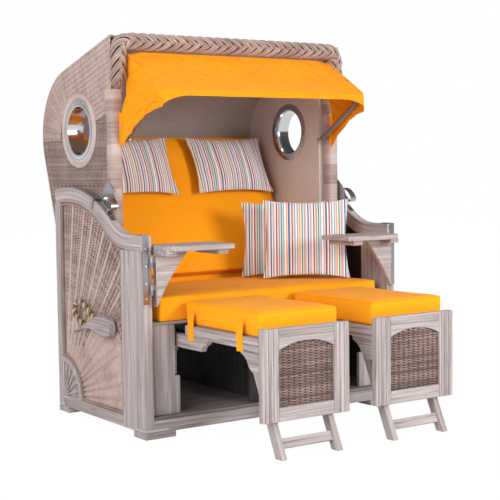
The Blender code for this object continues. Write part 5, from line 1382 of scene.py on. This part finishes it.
def simulate(pieces):
    """Run the cloth simulations together and keep their shapes."""
    scene = bpy.context.scene
    scene.frame_start = 1
    scene.frame_end = PUFF_FRAMES
    for frame_number in range(1, PUFF_FRAMES + 1):
        scene.frame_set(frame_number)
    depsgraph = bpy.context.evaluated_depsgraph_get()
    for piece in pieces:
        shape = [vert.co.copy() for vert in piece.evaluated_get(depsgraph).data.vertices]
        piece.modifiers.clear()
        for vert, spot in zip(piece.data.vertices, shape):
            vert.co = spot
    scene.frame_set(1)


def box_grid(size, cell):
    """Points and faces of a box shell about its middle with even cells, the numbers of its
    points by their places in the grid, and the counts of cells."""
    counts = [max(2, round(length / cell)) for length in size]
    index = {}
    points = []
    faces = []

    def number(key):
        if key not in index:
            index[key] = len(points)
            points.append(Vector([size[i] * (key[i] / counts[i] - 0.5) for i in range(3)]))
        return index[key]

    for axis in range(3):
        u, v = (axis + 1) % 3, (axis + 2) % 3
        for end in (0, counts[axis]):
            for a in range(counts[u]):
                for b in range(counts[v]):
                    corners = []
                    for da, db in CELL_CORNERS:
                        key = [0, 0, 0]
                        key[axis], key[u], key[v] = end, a + da, b + db
                        corners.append(number(tuple(key)))
                    faces.append(tuple(corners if end else corners[::-1]))
    return points, faces, index, counts


class Soft:
    """A closed shell in the space of its CAD solid, puffed by a cloth simulation."""

    material = ORANGE
    slot = "orange_cloth"

    def __init__(self, name, node, body, turn, cap, fill):
        self.name, self.node, self.body, self.turn, self.cap, self.fill = name, node, body, turn, cap, fill
        source = NODES[node]
        back = turn.inverted()
        points = [back @ (source.matrix_world @ vert.co) for vert in source.data.vertices]
        self.low = Vector([min(point[i] for point in points) for i in range(3)])
        self.high = Vector([max(point[i] for point in points) for i in range(3)])

    def puff(self, points, faces, drop=0.0):
        """Place the shell about the middle of its solid and give it its cloth."""
        self.rest = [spot.copy() for spot in points]
        middle = (self.low + self.high) / 2 - Vector((0, 0, drop))
        self.where = Matrix.Translation(self.turn @ middle) @ self.turn.to_4x4()
        self.piece = shown(self.name, mesh_of(self.name, points, faces, self.material))
        self.piece.matrix_world = self.where
        cloth = self.piece.modifiers.new("cloth", "CLOTH")
        settings = cloth.settings
        settings.quality = CLOTH_QUALITY
        settings.mass = CLOTH_MASS
        settings.tension_stiffness = settings.compression_stiffness = CLOTH_STIFFNESS
        settings.shear_stiffness = CLOTH_STIFFNESS / 2
        settings.bending_stiffness = CLOTH_BENDING
        settings.use_pressure = True
        settings.uniform_pressure_force = PUFF_PRESSURE
        settings.shrink_min = 0.0
        settings.effector_weights.gravity = 0.0
        cloth.collision_settings.use_self_collision = False
        cloth.collision_settings.use_collision = False
        cloth.point_cache.frame_start = 1
        cloth.point_cache.frame_end = PUFF_FRAMES

    def finish(self):
        """Hold each point near its place at rest, add creases and smooth the shell."""
        for vert, start in zip(self.piece.data.vertices, self.rest):
            move = vert.co - start
            if move.length > self.cap:
                move = move.normalized() * self.cap
            vert.co = self.creased(start, start + move)
        self.piece.data.shade_smooth()
        smooth = self.piece.modifiers.new("fine", "SUBSURF")
        smooth.levels = smooth.render_levels = 1
        settle(self.piece, self.body, self.slot, [self.node])


CUSHION_CELL = 0.013
CUSHION_ROUND = 0.010
CUSHION_SHRINK = 0.004
FOOT_REACH = 0.014


class Cushion(Soft):
    """A box cushion with one domed face."""

    def __init__(self, name, node, body, lean, crown, cap, fill, top=2, face=1):
        super().__init__(name, node, body, Matrix.Rotation(lean, 3, "X"), cap, fill)
        self.top, self.face = top, face
        self.other = [i for i in range(3) if i != top]
        size = self.high - self.low
        for i in self.other:
            size[i] -= CUSHION_SHRINK * 2
        points, faces, self.index, self.counts = box_grid(size, CUSHION_CELL)
        self.half = half = size / 2
        shaped = []
        for point in points:
            inner = Vector([min(max(point[i], -half[i] + CUSHION_ROUND), half[i] - CUSHION_ROUND)
                            for i in range(3)])
            away = point - inner
            spot = inner + away.normalized() * CUSHION_ROUND if away.length > 1e-6 else point.copy()
            if spot[top] * face > 0:
                a, b = [1 - min(1, abs(spot[i] / half[i])) ** 2.6 for i in self.other]
                spot[top] -= face * crown * (1 - a * b)
            shaped.append(spot)
        self.puff(shaped, faces)

    def creased(self, start, spot):
        """A puffed point, flat where it rests, with ripples, and inside its solid."""
        top, half = self.top, self.half
        if start[top] * self.face < -half[top] + CUSHION_ROUND * 0.5:
            spot[top] = start[top]
        seed = len(self.name) * 3.7
        ripple = noise.noise(Vector((start.x * 9 + seed, start.y * 9, start.z * 14))) * 0.0026
        ripple += noise.noise(Vector((start.x * 26 + seed, start.y * 26, start.z * 34))) * 0.0008
        if start[top] * self.face > 0:
            spot[top] += self.face * (ripple - 0.0012)
        for axis in self.other:
            if abs(start[axis]) > half[axis] - 0.012:
                spot[axis] -= (1 if start[axis] > 0 else -1) * (0.0012 + abs(ripple))
        limit = (self.high - self.low) / 2
        return Vector([min(max(spot[axis], -limit[axis]), limit[axis]) for axis in range(3)])

    def finish(self):
        """The finished shell with a narrow welt round its domed face."""
        super().finish()
        top = self.top
        a_axis, b_axis = self.other
        na, nb = self.counts[a_axis], self.counts[b_axis]
        loop = ([(i, 0) for i in range(na)] + [(na, j) for j in range(nb)]
                + [(i, nb) for i in range(na, 0, -1)] + [(0, j) for j in range(nb, 0, -1)])
        path = []
        for i, j in loop:
            key = [0, 0, 0]
            key[a_axis], key[b_axis], key[top] = i, j, self.counts[top] if self.face > 0 else 0
            path.append(self.where @ self.piece.data.vertices[self.index[tuple(key)]].co)
        up = self.turn @ Vector([1.0 if axis == top else 0.0 for axis in range(3)])
        form = Form()
        form.sweep(path, up, round_section(0.0014, 6), loop=True)
        self.welt = form.made(self.name + "_seams", self.body, ORANGE, "orange_cloth", tidy=True)

    def foot_strip(self):
        """Lower boxing of a leaning cushion, which reaches down to the seat."""
        form = Form()
        low, high = self.low, self.high
        board(form, box_outline((low.x + 0.010, low.z - FOOT_REACH), (high.x - 0.010, low.z + 0.040)),
              high.y - 0.034, high.y - 0.016, lambda a, b, c: self.turn @ Vector((a, c, b)), ease=0.004)
        form.made(self.name + "_foot", self.body, ORANGE, "orange_cloth", tidy=True)


def press_foot_pads(name, pieces):
    """Give each piece its own copy of its mesh."""
    for piece in pieces:
        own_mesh(piece)


PILLOW_CELLS = 34
PILLOW_DRAW = 0.075


class Pillow(Soft):
    """Striped pillow of two sheets sewn at the rim, with drawn-in sides and pointed corners."""

    material = STRIPED
    slot = "striped_cloth"

    def __init__(self, name, node, size, turn, cap, fill, body="base", drop=0.0):
        super().__init__(name, node, body, turn, cap, fill)
        self.size = size
        nu, nv = PILLOW_CELLS, max(16, round(PILLOW_CELLS * size[2] / size[0]))
        points = []
        faces = []
        index = {}

        def key(i, j, layer):
            return i, j, 0 if i in (0, nu) or j in (0, nv) else layer

        for layer in (1, -1):
            for i in range(nu + 1):
                for j in range(nv + 1):
                    if key(i, j, layer) not in index:
                        index[key(i, j, layer)] = len(points)
                        points.append(self.sheet_point(2 * i / nu - 1, 2 * j / nv - 1, layer))
            for i in range(nu):
                for j in range(nv):
                    corners = [index[key(i + di, j + dj, layer)] for di, dj in CELL_CORNERS]
                    faces.append(tuple(corners[::-1] if layer > 0 else corners))
        self.puff(points, faces, drop)

    def sheet_point(self, u, v, layer):
        """A point of one sheet before it swells."""
        wide, thick, tall = self.size
        x = u * wide / 2 * (1 - PILLOW_DRAW * (1 - v * v) * abs(u) ** 2)
        z = v * tall / 2 * (1 - PILLOW_DRAW * (1 - u * u) * abs(v) ** 2)
        dome = max(0.0, (1 - u * u) * (1 - v * v))
        return Vector((x, -layer * (thick / 2 - 0.006) * dome ** 0.55 * 0.96, z))

    def creased(self, start, spot):
        """A puffed point with puckers along the rim, inside the pillow's size."""
        wide, thick, tall = self.size
        seed = sum(ord(letter) for letter in self.name) * 0.37
        edge = max(abs(start.x * 2 / wide), abs(start.z * 2 / tall))
        pucker = noise.noise(Vector((start.x * 55 + seed, start.z * 55, 0.0))) * 0.0035
        fold = noise.noise(Vector((start.x * 12 + seed, start.z * 12, 3.0))) * 0.0050
        face = -1 if start.y < 0 else 1
        if abs(start.y) > 1e-5:
            spot.y += face * (pucker * min(1.0, edge * 1.1) ** 3 + fold - 0.002)
            if spot.y * face < 0.0006:
                spot.y = face * 0.0006
        return Vector([min(max(spot[i], -self.size[i] / 2), self.size[i] / 2) for i in range(3)])


# Small fittings

def slab(form, corner, opposite):
    """A plain box between two opposite corners, with eased edges."""
    low, high = [[pick(pair) for pair in zip(corner, opposite)] for pick in (min, max)]
    board(form, box_outline(low[:2], high[:2]), low[2], high[2], place, ease=min(0.0006, (high[2] - low[2]) / 3))


def flat_section(half):
    """Section of a tape."""
    return [(half, 0.0008), (-half, 0.0008), (-half, -0.0008), (half, -0.0008)]


FOOT_TAPE_PLACES = (-0.067, -0.415)
TAPE_WIDE = 0.042


def foot_tapes(name, side):
    """Orange tapes that hold a footrest's cushion to its side rail."""
    form = Form()
    x = side * (FOOT_X + FOOT_HALF)
    for y in FOOT_TAPE_PLACES:
        path = [place(x + side * lift, y + lean, z) for lift, lean, z in
                ((-0.0040, 0.002, 0.500), (-0.0010, 0.001, 0.480), (0.0014, 0.0, 0.462), (0.0016, 0.0, 0.440),
                 (0.0012, -0.001, 0.412), (0.0014, -0.002, 0.392))]
        form.sweep(path, RIGHT * side, flat_section(TAPE_WIDE / 2))
    press_foot_pads(name, [form.made(name + "_foot_tapes", name + "_footrest", ORANGE, "orange_cloth",
                                     tidy=True)])


ARM_CLIP_Y = 0.4190
ARM_CLIP_LOW = 0.9180
ARM_CLIP_HIGH = 0.9660
STRAP_LOW = 0.0300
STRAP_HIGH = 0.0420
STRAP_MIDDLE = (STRAP_LOW + STRAP_HIGH) / 2
STRAP_FACE = HALF_WIDTH + 0.0002
STRAP_THICK = 0.0016
STRAP_SCREW = 0.0045


def corner_straps(name, side):
    """Steel straps with screws, low on the corners of the base, and the strip's end on the arm."""
    form = Form()
    outer = STRAP_FACE + STRAP_THICK
    for y0, y1 in ((0.002, 0.068), (CASE_DEPTH - 0.062, CASE_DEPTH - 0.004)):
        slab(form, (side * STRAP_FACE, y0, STRAP_LOW), (side * outer, y1, STRAP_HIGH))
        for y in (y0 + 0.014, y1 - 0.014):
            screw(form, place(side * outer, y, STRAP_MIDDLE), RIGHT * side, STRAP_SCREW)
    slab(form, (side * (HALF_WIDTH - 0.002), -0.0020, STRAP_LOW),
         (side * (HALF_WIDTH - 0.104), -0.0004, STRAP_HIGH))
    for x in (0.020, 0.052, 0.088):
        screw(form, place(side * (HALF_WIDTH - x), -0.0020, STRAP_MIDDLE), -AHEAD, STRAP_SCREW)
    slab(form, (side * (STRAP_FACE - 0.0004), ARM_CLIP_Y, ARM_CLIP_LOW),
         (side * (STRAP_FACE + 0.0018), ARM_CLIP_Y + 0.0080, ARM_CLIP_HIGH))
    form.made(name + "_corner_straps", "base", SATIN_STEEL, "steel", tidy=True)


SCREW_SINK = 0.0006
POST_STRAP_FRONT = -0.0034
POST_STRAP_HALF = 0.0125


def fitting_screws(name, side):
    """Screws in the post's strap."""
    form = Form()
    low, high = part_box(name + "_post_strap")
    middle = (high.x - POST_STRAP_HALF) if side > 0 else (low.x + POST_STRAP_HALF)
    for share in (0.08, 0.30, 0.55, 0.80):
        spot = place(middle, POST_STRAP_FRONT + SCREW_SINK, low.z + (high.z - low.z) * share)
        screw(form, spot, -AHEAD, 0.0042)
    form.made(name + "_strap_screws", "base", STEEL, "steel", tidy=True)


def awning_tab(name, side):
    """Orange tab with a steel stud that holds the hem to the hood's upright."""
    tab = Form()
    stud = Form()
    x = side * 0.5545
    front = STILE_FRONT - 0.0006
    path = [place(x, front - lift, z) for lift, z in
            ((0.0006, 1.312), (0.0012, 1.29), (0.0022, 1.26), (0.0012, 1.23), (0.0022, 1.20), (0.0012, 1.178))]
    tab.sweep(path, -AHEAD, flat_section(0.0115))
    tab.made(name + "_awning_tab", "hood", ORANGE, "orange_cloth", tidy=True)
    screw(stud, place(x, front - 0.0024, 1.258), -AHEAD, 0.0090)
    stud.made(name + "_awning_stud", "hood", STEEL, "steel", tidy=True)


# Camera, light and floor

def camera():
    """The photograph's viewpoint."""
    yaw, pitch, roll = radians(34.365), radians(3.983), radians(-0.7165)
    ahead = Vector((sin(yaw) * cos(pitch), cos(yaw) * cos(pitch), -sin(pitch)))
    level_right = Vector((cos(yaw), -sin(yaw), 0))
    level_up = level_right.cross(ahead)
    right = level_right * cos(roll) + level_up * sin(roll)
    up = level_up * cos(roll) - level_right * sin(roll)
    eye = shown("camera", bpy.data.cameras.new("camera"))
    eye.data.sensor_width = 36.0
    eye.data.lens = 87.96
    turned = Matrix((right, up, -ahead)).transposed().to_4x4()
    eye.matrix_world = Matrix.Translation(place(-3.0038, -4.1900, 1.0885)) @ turned
    bpy.context.scene.camera = eye


def lamp(name, spot, aim, size, power):
    """A soft square lamp that looks at a point."""
    light = bpy.data.lights.new(name, "AREA")
    light.shape = "SQUARE"
    light.size = size
    light.energy = power
    made = shown(name, light)
    made.location = spot
    made.rotation_euler = (Vector(aim) - Vector(spot)).to_track_quat("-Z", "Y").to_euler()


WORLD_LIGHT = 0.62
FLOOR_GLOW = 0.95
FLOOR_HALF = 14.0
KEY_LIGHT = 150.0
FILL_LIGHT = 165.0
TOP_LIGHT = 8.0
STUDIO = ((0.10, (0.95, 0.95, 0.95)), (0.22, (0.45, 0.44, 0.44)), (0.40, (0.80, 0.80, 0.80)),
          (0.58, (1.0, 1.0, 1.0)), (0.70, (0.10, 0.10, 0.10)), (0.84, (0.06, 0.06, 0.06)),
          (0.90, (0.90, 0.90, 0.90)))


def stage():
    """White world and floor for the camera, plain soft light for the object."""
    scene = bpy.context.scene
    scene.view_settings.view_transform = "Standard"
    scene.world = bpy.data.worlds.new("studio")
    world = Nodes(scene.world)
    path, direct = world.seen_directly()
    across = world.across(world.add("ShaderNodeTexCoord").outputs["Generated"])
    patches = world.ramp(world.math("MULTIPLY_ADD", across, 0.5, 0.5), STUDIO)
    world.feed(world.tree.nodes["Background"], {
        "Color": world.mix(path["Is Glossy Ray"], (1.0, 1.0, 1.0), patches),
        "Strength": world.level(direct, 0.0, 1.0, WORLD_LIGHT, 1.0)})
    paper = Look("floor_paper", 0.9)
    glow = paper.add("ShaderNodeEmission", {"Strength": 1.03})
    mixed = paper.add("ShaderNodeMixShader", {
        0: paper.math("MULTIPLY", paper.seen_directly()[1], FLOOR_GLOW), 1: paper.shader.outputs[0],
        2: glow.outputs[0]})
    paper.feed(paper.tree.nodes["Material Output"], {"Surface": mixed.outputs[0]})
    corners = [(x * FLOOR_HALF, y * FLOOR_HALF, 0) for x, y in ((-1, -1), (1, -1), (1, 1), (-1, 1))]
    floor = shown("floor", mesh_of("floor", corners, [(0, 1, 2, 3)], paper.done((0.86, 0.86, 0.86))))
    lamp("key", (1.6, -4.8, 1.9), (0, 0.3, 0.8), 1.5, KEY_LIGHT)
    lamp("fill", (-4.6, -2.4, 2.6), (0, 0.2, 0.7), 3.0, FILL_LIGHT)
    lamp("top", (0.6, 1.4, 4.6), (0, 0.3, 0.8), 2.5, TOP_LIGHT)


def dress(node, material):
    """Give a CAD node its finished material."""
    mesh = NODES[node].data
    mesh.materials.clear()
    mesh.materials.append(material)


RUNG_HALF = 0.118
LEG_TILT = radians(24.6)


def dress_legs(node):
    """Grain along the tilted legs, and across on the rung between them."""
    mesh = NODES[node].data
    dress(node, GRAIN)
    mesh.materials.append(GRAIN_X)
    down = Vector((0, sin(LEG_TILT), cos(LEG_TILT)))
    over = Vector((0, cos(LEG_TILT), -sin(LEG_TILT)))
    grain = mesh.attributes.new("grain", "FLOAT_VECTOR", "POINT")
    for vert in mesh.vertices:
        grain.data[vert.index].vector = (vert.co.dot(down), vert.co.dot(over), vert.co.x)
    places = [vert.co.x for vert in mesh.vertices]
    middle = (min(places) + max(places)) / 2
    for polygon in mesh.polygons:
        if abs(polygon.center.x - middle) < RUNG_HALF:
            polygon.material_index = 1


# Making

PILLOW_CAP = 0.012
THROW_TALL = 0.385
THROW_TURN = Euler((radians(-8.0), 0.0, radians(-35.4))).to_matrix()
NECK_SIZES = {"left": (0.418, 0.105, 0.318), "right": (0.458, 0.105, 0.318)}
NECK_DROP = 0.015
NECK_TURN = Matrix.Rotation(-BACKREST_LEAN, 3, "X")

camera()
stage()
cushions = [
    Cushion("seat_cushion_pad", "seat_cushion", "base", lean=0.0, crown=0.006, cap=0.008, fill=0.8),
    Cushion("back_cushion_pad", "back_cushion", "hood", lean=-BACKREST_LEAN, crown=0.006, cap=0.008, fill=0.8,
            top=1, face=-1)]
for name in SIDES:
    cushions.append(Cushion(name + "_foot_pad", name + "_footrest_cushion", name + "_footrest", lean=0.0,
                            crown=0.004, cap=0.007, fill=0.85))
for node, tall in (("front_throw_pillow", THROW_TALL), ("rear_throw_pillow", 0.374)):
    cushions.append(Pillow(node + "_cover", node, (0.420, 0.105, tall), THROW_TURN, PILLOW_CAP, 0.75,
                           drop=(THROW_TALL - tall) / 2))
for name in SIDES:
    cushions.append(Pillow(name + "_neck_cover", name + "_neck_pillow", NECK_SIZES[name], NECK_TURN,
                           PILLOW_CAP, 0.7, "hood", NECK_DROP))
simulate([cushion.piece for cushion in cushions])
for cushion in cushions:
    cushion.finish()
cushions[1].foot_strip()
for pad in cushions:
    if isinstance(pad, Cushion) and pad.body.endswith("_footrest"):
        press_foot_pads(pad.body.removesuffix("_footrest"), [pad.piece, pad.welt])
for name, side in SIDES.items():
    side_frame(name, side)
    footrest_boards(name, side)
    fan(name, side)
    hood_side(name, side)
    stile(name, side)
    footrest_weave(name, side)
    handle_board(name, side)
    rope_handle(name, side)
    foot_tapes(name, side)
    corner_straps(name, side)
    fitting_screws(name, side)
    awning_tab(name, side)
    dress(f"{name}_front_board", GRAIN_Z)
    dress_legs(f"{name}_footrest_legs")
    for part in ("table_top", "table_bracket"):
        dress(f"{name}_{part}", GRAIN_X)
    dress(f"{name}_post_strap", POST_STEEL)
    for part in ("perforated_strip", "guide_clip", "catch_handle", "hinge_leaf", "pivot_bolt"):
        dress(f"{name}_{part}", SATIN_STEEL)
    # painted light: the hood walls get the lightened lining cloth
    dress(f"{name}_hood_wall", LIT_WALL_CLOTH)
hood_back()
braid()
rear_weave()
dress("hood_lining", LINING)
for part in ("front_bottom_rail", "seat_board"):
    dress(part, GRAIN_X)
# painted shade on the floor board inside the base
dress("floor_board", GRAIN_PAINTED_SHADE)
dress("rear_frame", GRAIN_X)
# painted shade on the centre divider
dress("centre_divider", GRAIN_DEEP_SHADE)
bow()
cloth, hems, flat, flat_area = awning()
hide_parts("awning_fabric")
for piece in [cloth] + hems:
    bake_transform(piece)
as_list(hems)
